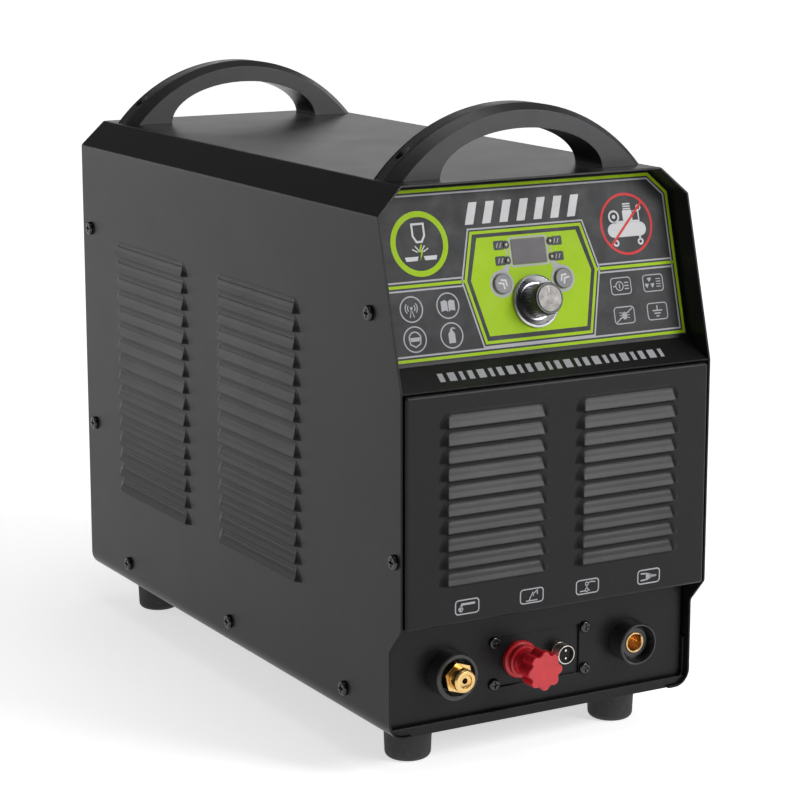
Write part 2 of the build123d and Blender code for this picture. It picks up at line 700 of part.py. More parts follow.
def make_earth_contact():
    """Brass contact of the earth socket, with a bore and a key for the plug."""
    contact = turned([(0, -34), (5.5, -34), (5.5, -10), (8.5, -10), (8.5, 9.8),
                      (8.1, 10.2), (7.1, 10.2), (PLUG_R, 9.6), (PLUG_R, -8), (0, -8)])
    keyway = Rot(0, 0, 135) * Pos(PLUG_R, 0, 5.5) * Box(2.4, 3.0, 10)
    return facing_front(EARTH_X, CONNECTOR_Y) * (contact - keyway)


CONTROL_REACH = 11.5
CONTROL_SEAT = 2.6       # its thread starts here
CONTROL_BACK = -16.0


def make_control_shell():
    """Threaded metal shell of the two-pin control socket."""
    shell = turned([(6.9, CONTROL_BACK), (7.8, CONTROL_BACK), (7.8, CONTROL_SEAT),
                    (8.0, CONTROL_SEAT), (8.0, CONTROL_REACH - 0.6),
                    (7.5, CONTROL_REACH), (6.9, CONTROL_REACH)])
    nut = Pos(0, 0, -SHEET - 2.9) * (hexagon_bar(20.0, 2.6) - Cylinder(7.7, 20))
    return facing_front(CONTROL_X, CONNECTOR_Y + SHEET) * (shell + nut)


def make_control_insert():
    """Insulating insert of the control socket."""
    insert = Cylinder(6.85, 22) - Pos(0, 6.6, 10) * Box(2.2, 2.2, 6)
    for x in (-3.2, 3.2):
        insert -= Pos(x, 0, 0) * Cylinder(1.05, 40)
    return facing_front(CONTROL_X, CONNECTOR_Y + SHEET) * Pos(0, 0, -2.6) * insert


def make_control_pins():
    """Two contact pins of the control socket."""
    pin = fillet(Cylinder(1.0, 26).edges().sort_by(Axis.Z)[-1], 0.6)
    place = facing_front(CONTROL_X, CONNECTOR_Y + SHEET)
    return [place * Pos(x, 0, -2.4) * pin for x in (-3.2, 3.2)]


# ---------------------------------------------------------------- regulator
STEM_R = 4.0
KNOB_PULL = 4.0
RED_LOBES = 8


def make_regulator_bush():
    """Fixed red bonnet of the air regulator."""
    bush = turned([(4.08, -6), (8.6, -6), (8.6, 0), (15.0, 0), (15.0, 3.4), (13.8, 4.6),
                   (13.0, 4.8), (13.0, 9.0), (12.0, 10.0), (4.08, 10.0)])
    return facing_front(REGULATOR_X, CONNECTOR_Y + SHEET) * bush


def make_regulator_body():
    """Regulator valve block behind the plate, with its ports."""
    y0 = CONNECTOR_Y + 2 * SHEET + 4.6
    body = block(REGULATOR_X - 17, REGULATOR_X + 17, y0, y0 + 40, SOCKET_Z - 17, SOCKET_Z + 17)
    body = fillet(body.edges().filter_by(Axis.Y), 4)
    body += post(REGULATOR_X, y0 + 20, 10, SOCKET_Z + 16, SOCKET_Z + 27)
    body += rod(REGULATOR_X, SOCKET_Z, 13, y0 + 39, y0 + 52)
    body -= rod(REGULATOR_X, SOCKET_Z, STEM_R + 0.08, y0 - 5, y0 + 22)
    return body


def make_regulator_stem():
    """Adjusting spindle of the regulator."""
    tip = CONNECTOR_Y - KNOB_REACH + 5.0
    return rod(REGULATOR_X, SOCKET_Z, STEM_R, tip, CONNECTOR_Y + 2 * SHEET + 20)


def lobed_face(radius, lobes, depth):
    """A round face whose rim has rounded lobes."""
    face = Circle(radius - depth)
    for index in range(lobes):
        angle = math.radians(index * 360 / lobes)
        at = Pos((radius - depth * 1.7) * math.cos(angle), (radius - depth * 1.7) * math.sin(angle))
        face += at * Circle(depth * 1.7)
    return face.faces()[0]


def make_regulator_knob():
    """Red lobed knob: neck and head, pulled out to unlock and then turned."""
    reach = KNOB_REACH + SHEET
    neck = turned([(STEM_R + 0.08, 10.6), (10.8, 10.6), (9.8, 13), (9.4, 20), (10.4, 24.2),
                   (STEM_R + 0.08, 24.2)])
    head = Pos(0, 0, 24) * extrude(lobed_face(15.5, RED_LOBES, 2.4), reach - 24)
    tips = head.faces().sort_by(Axis.Z)
    head = fillet(tips[-1].edges(), 0.9)
    head -= Pos(0, 0, 24) * Cylinder(STEM_R + 0.08, 2 * (reach - 24 - 3.5))
    return facing_front(REGULATOR_X, CONNECTOR_Y + SHEET) * (neck + head)


# ---------------------------------------------------------------- rear parts
FAN_HOLE = 52.5
FAN_BORE = 57.0
FAN_BLADES = 7
RING_WIRE = 1.2


def fan_corners():
    """Places of the fan's fixing holes on the rear panel."""
    return [(sx * FAN_HOLE, FAN_Z + sz * FAN_HOLE) for sx in (-1, 1) for sz in (-1, 1)]


def make_fan_frame():
    """Square fan frame with four struts and the motor seat."""
    y0, y1 = REAR_Y - FAN_DEPTH, REAR_Y - 0.1
    half = FAN_SIZE / 2
    frame = block(-half, half, y0, y1, FAN_Z - half, FAN_Z + half)
    frame = fillet(frame.edges().filter_by(Axis.Y), 5)
    frame -= rod(0, FAN_Z, FAN_BORE, y0 - 5, y1 + 5)
    for x, z in fan_corners():
        frame -= rod(x, z, 2.15, y0 - 5, y1 + 5)
    strut = block(-FAN_BORE - 1, FAN_BORE + 1, y0, y0 + 5, -2.5, 2.5)
    for angle in (45, -45):
        frame += Pos(0, 0, FAN_Z) * Rot(0, angle, 0) * strut
    frame += rod(0, FAN_Z, 22, y0, y0 + 8)
    return frame - rod(0, FAN_Z, 2.06, y0 - 5, y1)


def make_fan_rotor():
    """Fan rotor: hub, shaft and swept blades."""
    y0, y1 = REAR_Y - FAN_DEPTH + 9, REAR_Y - 4
    mid = (y0 + y1) / 2
    hub = rod(0, FAN_Z, 22, y0, y1)
    hub = fillet(hub.edges().sort_by(Axis.Y)[-1], 3)
    rotor = hub + rod(0, FAN_Z, 2.0, y0 - 6, y0 + 1)
    blade = Pos(37.5, 0, 0) * Rot(38, 0, 0) * Box(35, 1.8, 30)
    for index in range(FAN_BLADES):
        rotor += Pos(0, mid, FAN_Z) * Rot(0, index * 360 / FAN_BLADES, 0) * blade
    return rotor & rod(0, FAN_Z, FAN_BORE - 1.5, y0 - 8, y1 + 1)


def make_fan_guard():
    """Wire finger guard over the fan opening."""
    y = REAR_OUT_Y + 5.0
    guard = rod(0, FAN_Z, 9.0, y - RING_WIRE, y + RING_WIRE)
    for radius in range(16, 58, 8):
        guard += rod(0, FAN_Z, radius + RING_WIRE, y - RING_WIRE, y + RING_WIRE) - rod(
            0, FAN_Z, radius - RING_WIRE, y - 5, y + 5)
    reach = FAN_HOLE * math.sqrt(2)
    for angle in (45, 135):
        bar = block(-reach + 3, reach - 3, -2.4, 0, -RING_WIRE, RING_WIRE)
        guard += Pos(0, y, FAN_Z) * Rot(0, angle, 0) * bar
    for x, z in fan_corners():
        guard += rod(x, z, 5.5, REAR_OUT_Y, y)
    for x, z in fan_corners():
        guard -= rod(x, z, 2.3, REAR_OUT_Y - 1, y + 1)
    return guard


def make_rear_screws():
    """Four pan screws that hold the guard and the fan to the rear panel."""
    screw = pan_screw(4.2, 2.8, 2.0, 30.0)
    return [facing(x, REAR_OUT_Y + 5.0, z, (0, 1, 0)) * screw for x, z in fan_corners()]


SWITCH_TILT = 10.0
ROCKER_PIVOT_Y = REAR_OUT_Y - 2.5
PIVOT_R = 1.5


def make_switch_body():
    """Frame and housing of the mains rocker switch."""
    x, z = SWITCH_X, SWITCH_Z
    bezel = block(x - 14.5, x + 14.5, REAR_OUT_Y, REAR_OUT_Y + 2.2, z - 19, z + 19)
    bezel = fillet(bezel.edges().filter_by(Axis.Y), 2.0)
    bezel = chamfer(bezel.faces().sort_by(Axis.Y)[-1].edges(), 0.8)
    house = block(x - 11.7, x + 11.7, REAR_OUT_Y - 26, REAR_OUT_Y + 0.5, z - 15.7, z + 15.7)
    body = bezel + house
    body -= block(x - 10.4, x + 10.4, REAR_OUT_Y - 14, REAR_OUT_Y + 5, z - 14.4, z + 14.4)
    body -= cross_bar(ROCKER_PIVOT_Y, z, PIVOT_R + 0.06, x - 11.3, x + 11.3)
    for dx in (-5, 5):
        tab = block(x + dx - 0.4, x + dx + 0.4, REAR_OUT_Y - 36, REAR_OUT_Y - 25, z - 3, z + 3)
        body += tab
    return body


def make_switch_rocker():
    """Rocker of the mains switch, resting in its off position."""
    outline = [(-6.0, -9.0), (7.5, -12.6), (3.0, 0.0), (7.5, 12.6), (-6.0, 9.0)]
    rocker = side_extrude(outline, -10.0, 10.0)
    rocker = fillet(rocker.edges().filter_by(Axis.X), 1.0)
    rocker += cross_bar(0, 0, PIVOT_R, -10.9, 10.9)
    place = Pos(SWITCH_X, ROCKER_PIVOT_Y, SWITCH_Z) * Rot(-SWITCH_TILT, 0, 0)
    return place * rocker


def facing_rear(x, z):
    """A place on the outer face of the rear panel whose local +Z points backwards."""
    return facing(x, REAR_OUT_Y, z, (0, 1, 0))


CORD_R = 6.0


def make_cable_gland():
    """Body of the mains cable gland, through the rear panel, with its lock nut."""
    body = turned([(7.5, -14), (10.0, -14), (10.0, 0), (12.0, 0), (12.0, 6), (9.6, 6),
                   (9.6, 14), (7.5, 14)])
    flange = hexagon_bar(24.0, 6.0) - Cylinder(9.0, 40)
    lock = Pos(0, 0, -SHEET - 5) * (hexagon_bar(25.0, 5.0) - Cylinder(9.5, 40))
    return facing_rear(GLAND_X, GLAND_Z) * (body + flange + lock)


def make_gland_nut():
    """Domed clamping nut and seal of the cable gland."""
    hexagon = hexagon_bar(23.0, 12.0)
    dome = turned([(0, 11), (11.5, 11), (11.3, 15), (9.5, 19), (7.0, GLAND_REACH - 6.6), (0, 20.4)])
    nut = Pos(0, 0, 6.6) * (hexagon + dome)
    nut -= Pos(0, 0, 6.6) * Cylinder(9.75, 16)
    nut -= Pos(0, 0, 10) * Cylinder(CORD_R + 0.3, 60)
    return facing_rear(GLAND_X, GLAND_Z) * nut


# ---------------------------------------------------------------- inside
FLOOR_Z = FOOT_H + TRAY_T
DECK_Z = DECK_LOW_Z + SHEET


PUMP_X = REGULATOR_X


def make_compressor_motor():
    """Motor of the air compressor, lying along the depth."""
    z = FLOOR_Z + 74
    motor = rod(PUMP_X, z, 52, 230, 370)
    motor = fillet(motor.edges().filter_by(GeomType.CIRCLE), 6)
    for x in (PUMP_X - 40, PUMP_X + 40):
        motor += block(x - 8, x + 8, 250, 350, FLOOR_Z, z - 20)
    return motor


def make_compressor_pump():
    """Pump of the air compressor: crankcase and a finned cylinder with its head."""
    z = FLOOR_Z + 74
    pump = block(PUMP_X - 46, PUMP_X + 46, 138, 229, FLOOR_Z, z + 26)
    pump = fillet(pump.edges().filter_by(Axis.Y), 10)
    pump += post(PUMP_X, 184, 26, z + 20, z + 66)
    for row in range(5):
        low = z + 30 + row * 7
        pump += post(PUMP_X, 184, 36, low, low + 3)
    pump += block(PUMP_X - 32, PUMP_X + 32, 152, 216, z + 66, z + 82)
    return pump


def make_transformer_core():
    """Laminated core of the output transformer."""
    core = block(-60, 60, 420, 500, FLOOR_Z + 10, FLOOR_Z + 120)
    for x0, x1 in ((-42, -12), (12, 42)):
        core -= block(x0, x1, 400, 520, FLOOR_Z + 28, FLOOR_Z + 102)
    for x in (-50, 50):
        core += block(x - 10, x + 10, 405, 515, FLOOR_Z, FLOOR_Z + 10)
    return core


def make_transformer_winding():
    """Winding round the middle leg of the transformer."""
    low, high = FLOOR_Z + 31, FLOOR_Z + 99
    winding = block(-38, 38, 396, 524, low, high)
    winding = fillet(winding.edges().filter_by(Axis.Z), 12)
    return winding - block(-13, 13, 419, 501, low - 5, high + 5)


def make_heat_sink():
    """Finned heat sink that cools the power transistors."""
    sink = block(-64, 64, 260, 500, DECK_Z + 12, DECK_Z + 20)
    for index in range(15):
        x = -63 + index * 9
        sink += block(x - 1, x + 1, 260, 500, DECK_Z + 20, DECK_Z + 70)
    for x in (-58, 58):
        sink += block(x - 6, x + 6, 270, 490, DECK_Z, DECK_Z + 12.5)
    return sink


def make_inverter_board():
    """Inverter circuit board on the deck, in front of the heat sink."""
    board = block(-100, 100, 120, 245, DECK_Z + 12, DECK_Z + 14)
    for x in (-90, 90):
        for y in (130, 235):
            board += post(x, y, 4, DECK_Z, DECK_Z + 12.5)
    board += block(-90, -50, 150, 220, DECK_Z + 13, DECK_Z + 40)
    return board


def make_capacitors():
    """Six electrolytic capacitors on the inverter board."""
    cans = []
    for x in (-20, 25, 70):
        for y in (152, 205):
            can = post(x, y, 17.5, DECK_Z + 14, DECK_Z + 64)
            cans.append(fillet(can.edges().sort_by(Axis.Z)[-1], 2))
    return cans


VALVE_X = -84.0
VALVE_Y = 110.0


def make_solenoid_valve():
    """Solenoid air valve behind the torch socket."""
    valve = block(VALVE_X - 14, VALVE_X + 14, 92, 128, SOCKET_Z - 12, SOCKET_Z + 12)
    valve += block(VALVE_X - 17, VALVE_X + 17, 94, 126, SOCKET_Z + 16, SOCKET_Z + 50)
    valve += post(VALVE_X, VALVE_Y, 9, SOCKET_Z + 8, SOCKET_Z + 56)
    return valve


def pipe(points, radius, bend):
    """A round pipe along a line of points with rounded bends."""
    path = FilletPolyline(*points, radius=bend)
    start = Plane(origin=path @ 0, z_dir=path % 0)
    return sweep(start * Circle(radius), path=path)


def make_air_pipes():
    """Metal air pipes: pump to regulator, regulator to valve and valve to torch."""
    head_z = FLOOR_Z + 74 + 74
    reg_back = CONNECTOR_Y + 2 * SHEET + 4.6 + 52
    first = pipe([(PUMP_X, 152, head_z), (PUMP_X, 108, head_z), (PUMP_X, 108, SOCKET_Z),
                  (PUMP_X, reg_back, SOCKET_Z)], 4, 10)
    port_y = CONNECTOR_Y + 2 * SHEET + 24.6
    second = pipe([(REGULATOR_X - 17, port_y, SOCKET_Z), (VALVE_X + 36, port_y, SOCKET_Z),
                   (VALVE_X + 36, VALVE_Y, SOCKET_Z), (VALVE_X + 14, VALVE_Y, SOCKET_Z)], 4, 9)
    third = rod(TORCH_X, SOCKET_Z, 4, CONNECTOR_Y + 34, 92)
    return [first, second, third]


# ---------------------------------------------------------------- write the pieces
def pieces():
    """Every piece by name."""
    left, right = BUTTON_UV
    parts = {
        "cover": make_cover(),
        "cover_screws": make_cover_screws(),
        "base_tray": make_base_tray(),
        "deck": make_deck(),
        "rear_panel": make_rear_panel(),
        "control_panel": make_control_panel(),
        "louvre_panel": make_louvre_panel(),
        "connector_panel": make_connector_panel(),
        "connector_plate": make_connector_plate(),
        "plate_screws": make_plate_screws(),
        "front_handle": make_handle(HANDLE_Y[0]),
        "rear_handle": make_handle(HANDLE_Y[1]),
        "handle_screws": make_handle_screws(),
        "foot_screws": make_foot_screws(),
        "control_label": make_control_label(),
        "display_window": make_display_window(),
        "indicator_leds": make_indicator_leds(),
        "knob_dial": make_knob_dial(),
        "current_knob": make_current_knob(),
        "knob_cap": make_knob_cap(),
        "encoder_shaft": make_encoder_shaft(),
        "encoder_body": make_encoder_body(),
        "button_left": make_button(*left),
        "button_right": make_button(*right),
        "button_switches": make_button_switches(),
        "control_board": make_control_board(),
        "board_standoffs": make_board_standoffs(),
        "torch_collar": make_torch_collar(),
        "torch_nipple": make_torch_nipple(),
        "torch_nut": make_torch_nut(),
        "earth_collar": make_earth_collar(),
        "earth_contact": make_earth_contact(),
        "control_shell": make_control_shell(),
        "control_insert": make_control_insert(),
        "control_pins": make_control_pins(),
        "regulator_bush": make_regulator_bush(),
        "regulator_body": make_regulator_body(),
        "regulator_stem": make_regulator_stem(),
        "regulator_knob": make_regulator_knob(),
        "fan_frame": make_fan_frame(),
        "fan_rotor": make_fan_rotor(),
        "fan_guard": make_fan_guard(),
        "rear_screws": make_rear_screws(),
        "switch_body": make_switch_body(),
        "switch_rocker": make_switch_rocker(),
        "cable_gland": make_cable_gland(),
        "gland_nut": make_gland_nut(),
        "compressor_motor": make_compressor_motor(),
        "compressor_pump": make_compressor_pump(),
        "transformer_core": make_transformer_core(),
        "transformer_winding": make_transformer_winding(),
        "heat_sink": make_heat_sink(),
        "inverter_board": make_inverter_board(),
        "capacitors": make_capacitors(),
        "solenoid_valve": make_solenoid_valve(),
        "air_pipes": make_air_pipes(),
    }
    corners = [("front", FOOT_Y[0]), ("rear", FOOT_Y[1])]
    for end, y in corners:
        parts[f"foot_{end}_left"] = make_foot(-FOOT_X, y)
        parts[f"foot_{end}_right"] = make_foot(FOOT_X, y)
    return parts


for name, shape in pieces().items():
    solids = shape if isinstance(shape, list) else [shape]
    moved = [Pos(0, -CENTRE_Y, 0) * solid for solid in solids]
    piece = moved[0] if len(moved) == 1 else Compound(children=moved)
    export_step(piece, f"parts/{name}.step")
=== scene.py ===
import json
import math

import bmesh
import bpy
from mathutils import Matrix, Vector


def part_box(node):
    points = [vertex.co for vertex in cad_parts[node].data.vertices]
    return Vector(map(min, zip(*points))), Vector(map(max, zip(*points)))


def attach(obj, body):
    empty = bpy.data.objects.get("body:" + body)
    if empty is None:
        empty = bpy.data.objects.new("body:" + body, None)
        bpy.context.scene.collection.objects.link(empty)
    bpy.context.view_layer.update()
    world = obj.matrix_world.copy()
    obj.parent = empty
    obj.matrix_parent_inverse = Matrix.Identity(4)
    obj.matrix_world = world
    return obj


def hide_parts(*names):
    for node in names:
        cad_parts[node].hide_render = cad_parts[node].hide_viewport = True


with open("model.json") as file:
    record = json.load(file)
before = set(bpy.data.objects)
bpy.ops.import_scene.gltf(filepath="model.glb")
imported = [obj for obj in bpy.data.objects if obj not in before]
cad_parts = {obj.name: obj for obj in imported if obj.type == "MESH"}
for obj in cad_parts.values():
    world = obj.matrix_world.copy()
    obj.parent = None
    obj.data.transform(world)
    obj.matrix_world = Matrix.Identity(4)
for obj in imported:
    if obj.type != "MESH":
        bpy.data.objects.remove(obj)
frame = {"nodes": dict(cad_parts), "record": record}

RECORD = frame["record"]
MM = 0.001

# ---------------------------------------------------------------- camera
CAMERA_PLACE = (-1.0414, -1.8753, 0.6889)
YAW = math.radians(29.79)
PITCH = math.radians(12.03)
LENS_MM = 114.05


def make_camera():
    """Long lens from the front left, slightly above the unit."""
    data = bpy.data.cameras.new("camera")
    data.lens = LENS_MM
    data.sensor_width = 36.0
    data.clip_start = 0.05
    data.clip_end = 50.0
    cam = bpy.data.objects.new("camera", data)
    bpy.context.scene.collection.objects.link(cam)
    forward = Vector((math.sin(YAW) * math.cos(PITCH), math.cos(YAW) * math.cos(PITCH),
                      -math.sin(PITCH)))
    cam.location = CAMERA_PLACE
    cam.rotation_mode = "QUATERNION"
    cam.rotation_quaternion = forward.to_track_quat("-Z", "Y")
    bpy.context.scene.camera = cam


make_camera()
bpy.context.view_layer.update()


# ---------------------------------------------------------------- materials
class Nodes:
    """Short names for building one material's node tree."""

    def __init__(self, name):
        self.material = bpy.data.materials.new(name)
        self.material.use_nodes = True
        self.tree = self.material.node_tree
        self.shader = self.tree.nodes["Principled BSDF"]
        self.coordinates = self.add("ShaderNodeTexCoord")
        self.place = self.coordinates.outputs["Object"]

    def add(self, kind, **settings):
        """A new node with its settings."""
        node = self.tree.nodes.new(kind)
        for key, value in settings.items():
            setattr(node, key, value)
        return node

    def link(self, a, b):
        self.tree.links.new(a, b)

    def noise(self, scale, detail=3.0, rough=0.55, stretch=(1, 1, 1)):
        """Noise fixed to the object, drawn out along the axes by the stretch."""
        mapping = self.add("ShaderNodeMapping")
        mapping.inputs["Scale"].default_value = stretch
        self.link(self.place, mapping.inputs["Vector"])
        noise = self.add("ShaderNodeTexNoise")
        noise.inputs["Scale"].default_value = scale
        noise.inputs["Detail"].default_value = detail
        noise.inputs["Roughness"].default_value = rough
        self.link(mapping.outputs["Vector"], noise.inputs["Vector"])
        return noise.outputs["Fac"]

    def span(self, value, low, high, a=0.3, b=0.7):
        """Map the range a to b onto the range low to high."""
        node = self.add("ShaderNodeMapRange")
        node.inputs["From Min"].default_value = a
        node.inputs["From Max"].default_value = b
        node.inputs["To Min"].default_value = low
        node.inputs["To Max"].default_value = high
        self.link(value, node.inputs["Value"])
        return node.outputs["Result"]

    def mix(self, factor, low, high):
        """Blend two colours, each a plain value or a socket."""
        node = self.add("ShaderNodeMix", data_type="RGBA")
        self.link(factor, node.inputs["Factor"])
        for socket, colour in ((node.inputs["A"], low), (node.inputs["B"], high)):
            if isinstance(colour, tuple):
                socket.default_value = (*colour, 1.0)
            else:
                self.link(colour, socket)
        return node.outputs["Result"]

    def bump(self, height, depth, under=None):
        """Fine relief, laid over another normal where one is given."""
        node = self.add("ShaderNodeBump")
        node.inputs["Distance"].default_value = depth
        self.link(height, node.inputs["Height"])
        if under is not None:
            self.link(under, node.inputs["Normal"])
        return node.outputs["Normal"]

    def rounded(self, radius):
        """Edges that catch the light as if they were rounded."""
        node = self.add("ShaderNodeBevel", samples=4)
        node.inputs["Radius"].default_value = radius
        return node.outputs["Normal"]


def shade(colour, factor):
    """The colour made lighter or darker."""
    return tuple(min(1.0, c * factor) for c in colour)


DUST = (0.33, 0.32, 0.30)


def surface(name, colour, rough, metal=0.0, vary=0.12, patch=18.0, grain=700.0, depth=0.00004,
            rough_vary=0.08, dust=0.0, stretch=(1, 1, 1), round_edges=0.0, coat=0.0,
            specular=0.5, marks=0.0, painted_face_light=0.0):
    """A material with patchy colour, uneven gloss, fine grain, and dust or scuffs.

    The face factor paints light and shade: it multiplies the colour of the faces that look
    forwards or backwards.
    """
    n = Nodes(name)
    n.shader.inputs["Metallic"].default_value = metal
    n.shader.inputs["Specular IOR Level"].default_value = specular
    n.shader.inputs["Coat Weight"].default_value = coat
    n.shader.inputs["Coat Roughness"].default_value = 0.12
    patches = n.span(n.noise(patch, 4.0), 0.0, 1.0)
    tone = n.mix(patches, shade(colour, 1 - vary), shade(colour, 1 + vary))
    # painted light: faces that look forwards or backwards take the colour times the face factor
    if painted_face_light:
        parts = n.add("ShaderNodeSeparateXYZ")
        n.link(n.coordinates.outputs["Normal"], parts.inputs["Vector"])
        across = n.add("ShaderNodeMath", operation="ABSOLUTE")
        n.link(parts.outputs["Y"], across.inputs[0])
        facing = n.span(across.outputs["Value"], 0.0, 1.0, 0.90, 0.98)
        tone = n.mix(facing, tone, shade(colour, painted_face_light))
    if dust:
        specks = n.span(n.noise(260.0, 5.0, 0.7), 0.0, dust, 0.52, 0.8)
        tone = n.mix(specks, tone, DUST)
    gloss = n.span(n.noise(patch * 3.1, 5.0, 0.6), rough - rough_vary, rough + rough_vary)
    if marks:
        scuffs = n.span(n.noise(46.0, 8.0, 0.75, (1, 5, 1)), 0.0, marks, 0.60, 0.72)
        tone = n.mix(scuffs, tone, shade(colour, 2.4))
    n.link(tone, n.shader.inputs["Base Color"])
    n.link(gloss, n.shader.inputs["Roughness"])
    under = n.rounded(round_edges) if round_edges else None
    fine = n.bump(n.noise(grain, 2.0, 0.5, stretch), depth, under)
    n.link(fine, n.shader.inputs["Normal"])
    return n.material


MATERIALS = {
    "powder": surface("powder_black", (0.0060, 0.0061, 0.0065), 0.34, vary=0.05, patch=6.0,
                      grain=1500.0, depth=0.00004, rough_vary=0.02, dust=0.02,
                      round_edges=0.0014, marks=0.05, specular=0.20),
    "film": surface("film_grey", (0.026, 0.0265, 0.0285), 0.46, vary=0.08, grain=2200.0,
                    depth=0.00002, dust=0.03, specular=0.16),
    "moulded": surface("moulded_black", (0.017, 0.017, 0.018), 0.36, vary=0.10, grain=1300.0,
                       depth=0.00010, dust=0.03, round_edges=0.0006, marks=0.04),
    # painted highlight: the handles' forward and backward faces are made 2.6 times lighter,
    # standing in for the light they catch
    "handle": surface("handle_black", (0.010, 0.010, 0.011), 0.34, vary=0.10, grain=1300.0,
                      depth=0.00012, dust=0.03, round_edges=0.0008, marks=0.04, painted_face_light=2.6),
    "insert": surface("insert_black", (0.010, 0.010, 0.010), 0.55, vary=0.15, grain=1500.0,
                      depth=0.00002, specular=0.2),
    "socket": surface("socket_black", (0.020, 0.020, 0.021), 0.30, vary=0.12, grain=1200.0,
                      depth=0.00002, round_edges=0.0004),
    "knob": surface("knob_black", (0.014, 0.014, 0.015), 0.32, vary=0.12, grain=1500.0,
                    depth=0.00001, round_edges=0.0003, specular=0.35),
    "button": surface("button_grey", (0.13, 0.13, 0.135), 0.36, vary=0.08, grain=1500.0,
                      depth=0.00002, round_edges=0.0003, dust=0.03, specular=0.3),
    "rubber": surface("foot_rubber", (0.022, 0.022, 0.022), 0.72, vary=0.18, grain=900.0,
                      depth=0.00010, dust=0.10),
    "dark_screw": surface("dark_screw", (0.055, 0.055, 0.058), 0.20, metal=1.0, vary=0.2,
                          grain=1600.0, depth=0.00002, round_edges=0.0002),
    "zinc": surface("zinc_sheet", (0.55, 0.56, 0.58), 0.38, metal=1.0, vary=0.16, patch=40.0,
                    depth=0.00003, stretch=(1, 12, 1)),
    "brass": surface("turned_brass", (0.70, 0.47, 0.19), 0.24, metal=1.0, vary=0.14, patch=90.0,
                     grain=800.0, depth=0.00002, stretch=(0.2, 6, 0.2), round_edges=0.0002),
    "copper": surface("contact_copper", (0.66, 0.44, 0.21), 0.30, metal=1.0, vary=0.06,
                      patch=90.0, grain=800.0, depth=0.000008, round_edges=0.0002),
    "nickel": surface("bright_nickel", (0.78, 0.73, 0.68), 0.34, metal=1.0, vary=0.10,
                      patch=60.0, grain=900.0, depth=0.00001, round_edges=0.0002),
    "dial": surface("spun_dial", (0.44, 0.44, 0.46), 0.30, metal=1.0, vary=0.05, patch=30.0,
                    grain=1200.0, depth=0.00001, round_edges=0.0003),
    "cap": surface("spun_cap", (0.10, 0.096, 0.092), 0.40, metal=1.0, vary=0.10, patch=60.0,
                   grain=1600.0, depth=0.00001, round_edges=0.0002),
    "red": surface("regulator_red", (0.46, 0.008, 0.016), 0.38, vary=0.10, patch=60.0,
                   grain=1500.0, depth=0.00002, round_edges=0.0005, coat=0.15),
    "smoked": surface("smoked_window", (0.075, 0.068, 0.075), 0.30, vary=0.10, patch=60.0,
                      grain=900.0, depth=0.000004, rough_vary=0.03, specular=0.12),
    "lamp": surface("lamp_lens", (0.10, 0.085, 0.04), 0.25, vary=0.15, patch=200.0,
                    grain=2000.0, depth=0.00001),
    "lime": surface("print_lime", (0.29, 0.46, 0.006), 0.48, vary=0.05, grain=2200.0,
                    depth=0.00001, dust=0.02, specular=0.12),
    "pale": surface("print_pale", (0.34, 0.34, 0.36), 0.48, vary=0.06, grain=2200.0,
                    depth=0.00001, dust=0.03, specular=0.2),
    "white": surface("print_white", (0.50, 0.50, 0.51), 0.48, vary=0.05, grain=2200.0,
                     depth=0.00001, dust=0.03, specular=0.2),
    "signal": surface("print_red", (0.52, 0.030, 0.032), 0.48, vary=0.05, grain=2200.0,
                      depth=0.00001, dust=0.02, specular=0.12),
    "ink": surface("print_dark", (0.040, 0.042, 0.048), 0.48, vary=0.08, grain=2200.0,
                   depth=0.00001, specular=0.2),
    "board": surface("circuit_green", (0.015, 0.12, 0.045), 0.35, vary=0.2, patch=120.0),
    "cast": surface("cast_alloy", (0.50, 0.50, 0.50), 0.5, metal=1.0, vary=0.15, grain=500.0,
                    depth=0.00012),
    "core": surface("core_steel", (0.20, 0.20, 0.21), 0.45, metal=1.0, vary=0.2,
                    stretch=(1, 20, 1), depth=0.00010),
    "winding": surface("enamel_copper", (0.60, 0.26, 0.10), 0.3, metal=1.0, vary=0.2,
                       stretch=(1, 1, 14), depth=0.00020),
    "sink": surface("extruded_sink", (0.60, 0.60, 0.62), 0.38, metal=1.0, vary=0.1,
                    stretch=(10, 0.3, 10), depth=0.00004),
    "sleeve": surface("can_sleeve", (0.02, 0.035, 0.11), 0.25, vary=0.15, patch=80.0),
    "motor": surface("motor_paint", (0.03, 0.03, 0.033), 0.3, vary=0.15, grain=300.0),
}

NODE_MATERIALS = {
    "powder": ["cover", "louvre_panel", "connector_panel", "connector_plate", "rear_panel",
               "control_panel", "base_tray"],
    "film": ["control_label"],
    "handle": ["front_handle", "rear_handle"],
    "moulded": ["fan_frame", "fan_rotor", "switch_body"],
    "insert": ["control_insert"],
    "socket": ["torch_collar", "earth_collar", "cable_gland", "gland_nut",
               "encoder_body", "button_switches"],
    "knob": ["current_knob", "switch_rocker"],
    "button": ["button_left", "button_right"],
    "rubber": ["foot_front_left", "foot_front_right", "foot_rear_left", "foot_rear_right"],
    "dark_screw": ["cover_screws", "plate_screws", "handle_screws", "foot_screws",
                   "rear_screws", "board_standoffs"],
    "zinc": ["deck"],
    "brass": ["torch_nipple", "torch_nut"],
    "copper": ["earth_contact"],
    "nickel": ["control_shell", "control_pins", "fan_guard", "encoder_shaft", "regulator_stem"],
    "dial": ["knob_dial"],
    "cap": ["knob_cap"],
    "red": ["regulator_bush", "regulator_knob"],
    "smoked": ["display_window"],
    "lamp": ["indicator_leds"],
    "board": ["control_board", "inverter_board"],
    "cast": ["regulator_body", "compressor_pump", "solenoid_valve", "air_pipes"],
    "core": ["transformer_core"],
    "winding": ["transformer_winding"],
    "sink": ["heat_sink"],
    "sleeve": ["capacitors"],
    "motor": ["compressor_motor"],
}


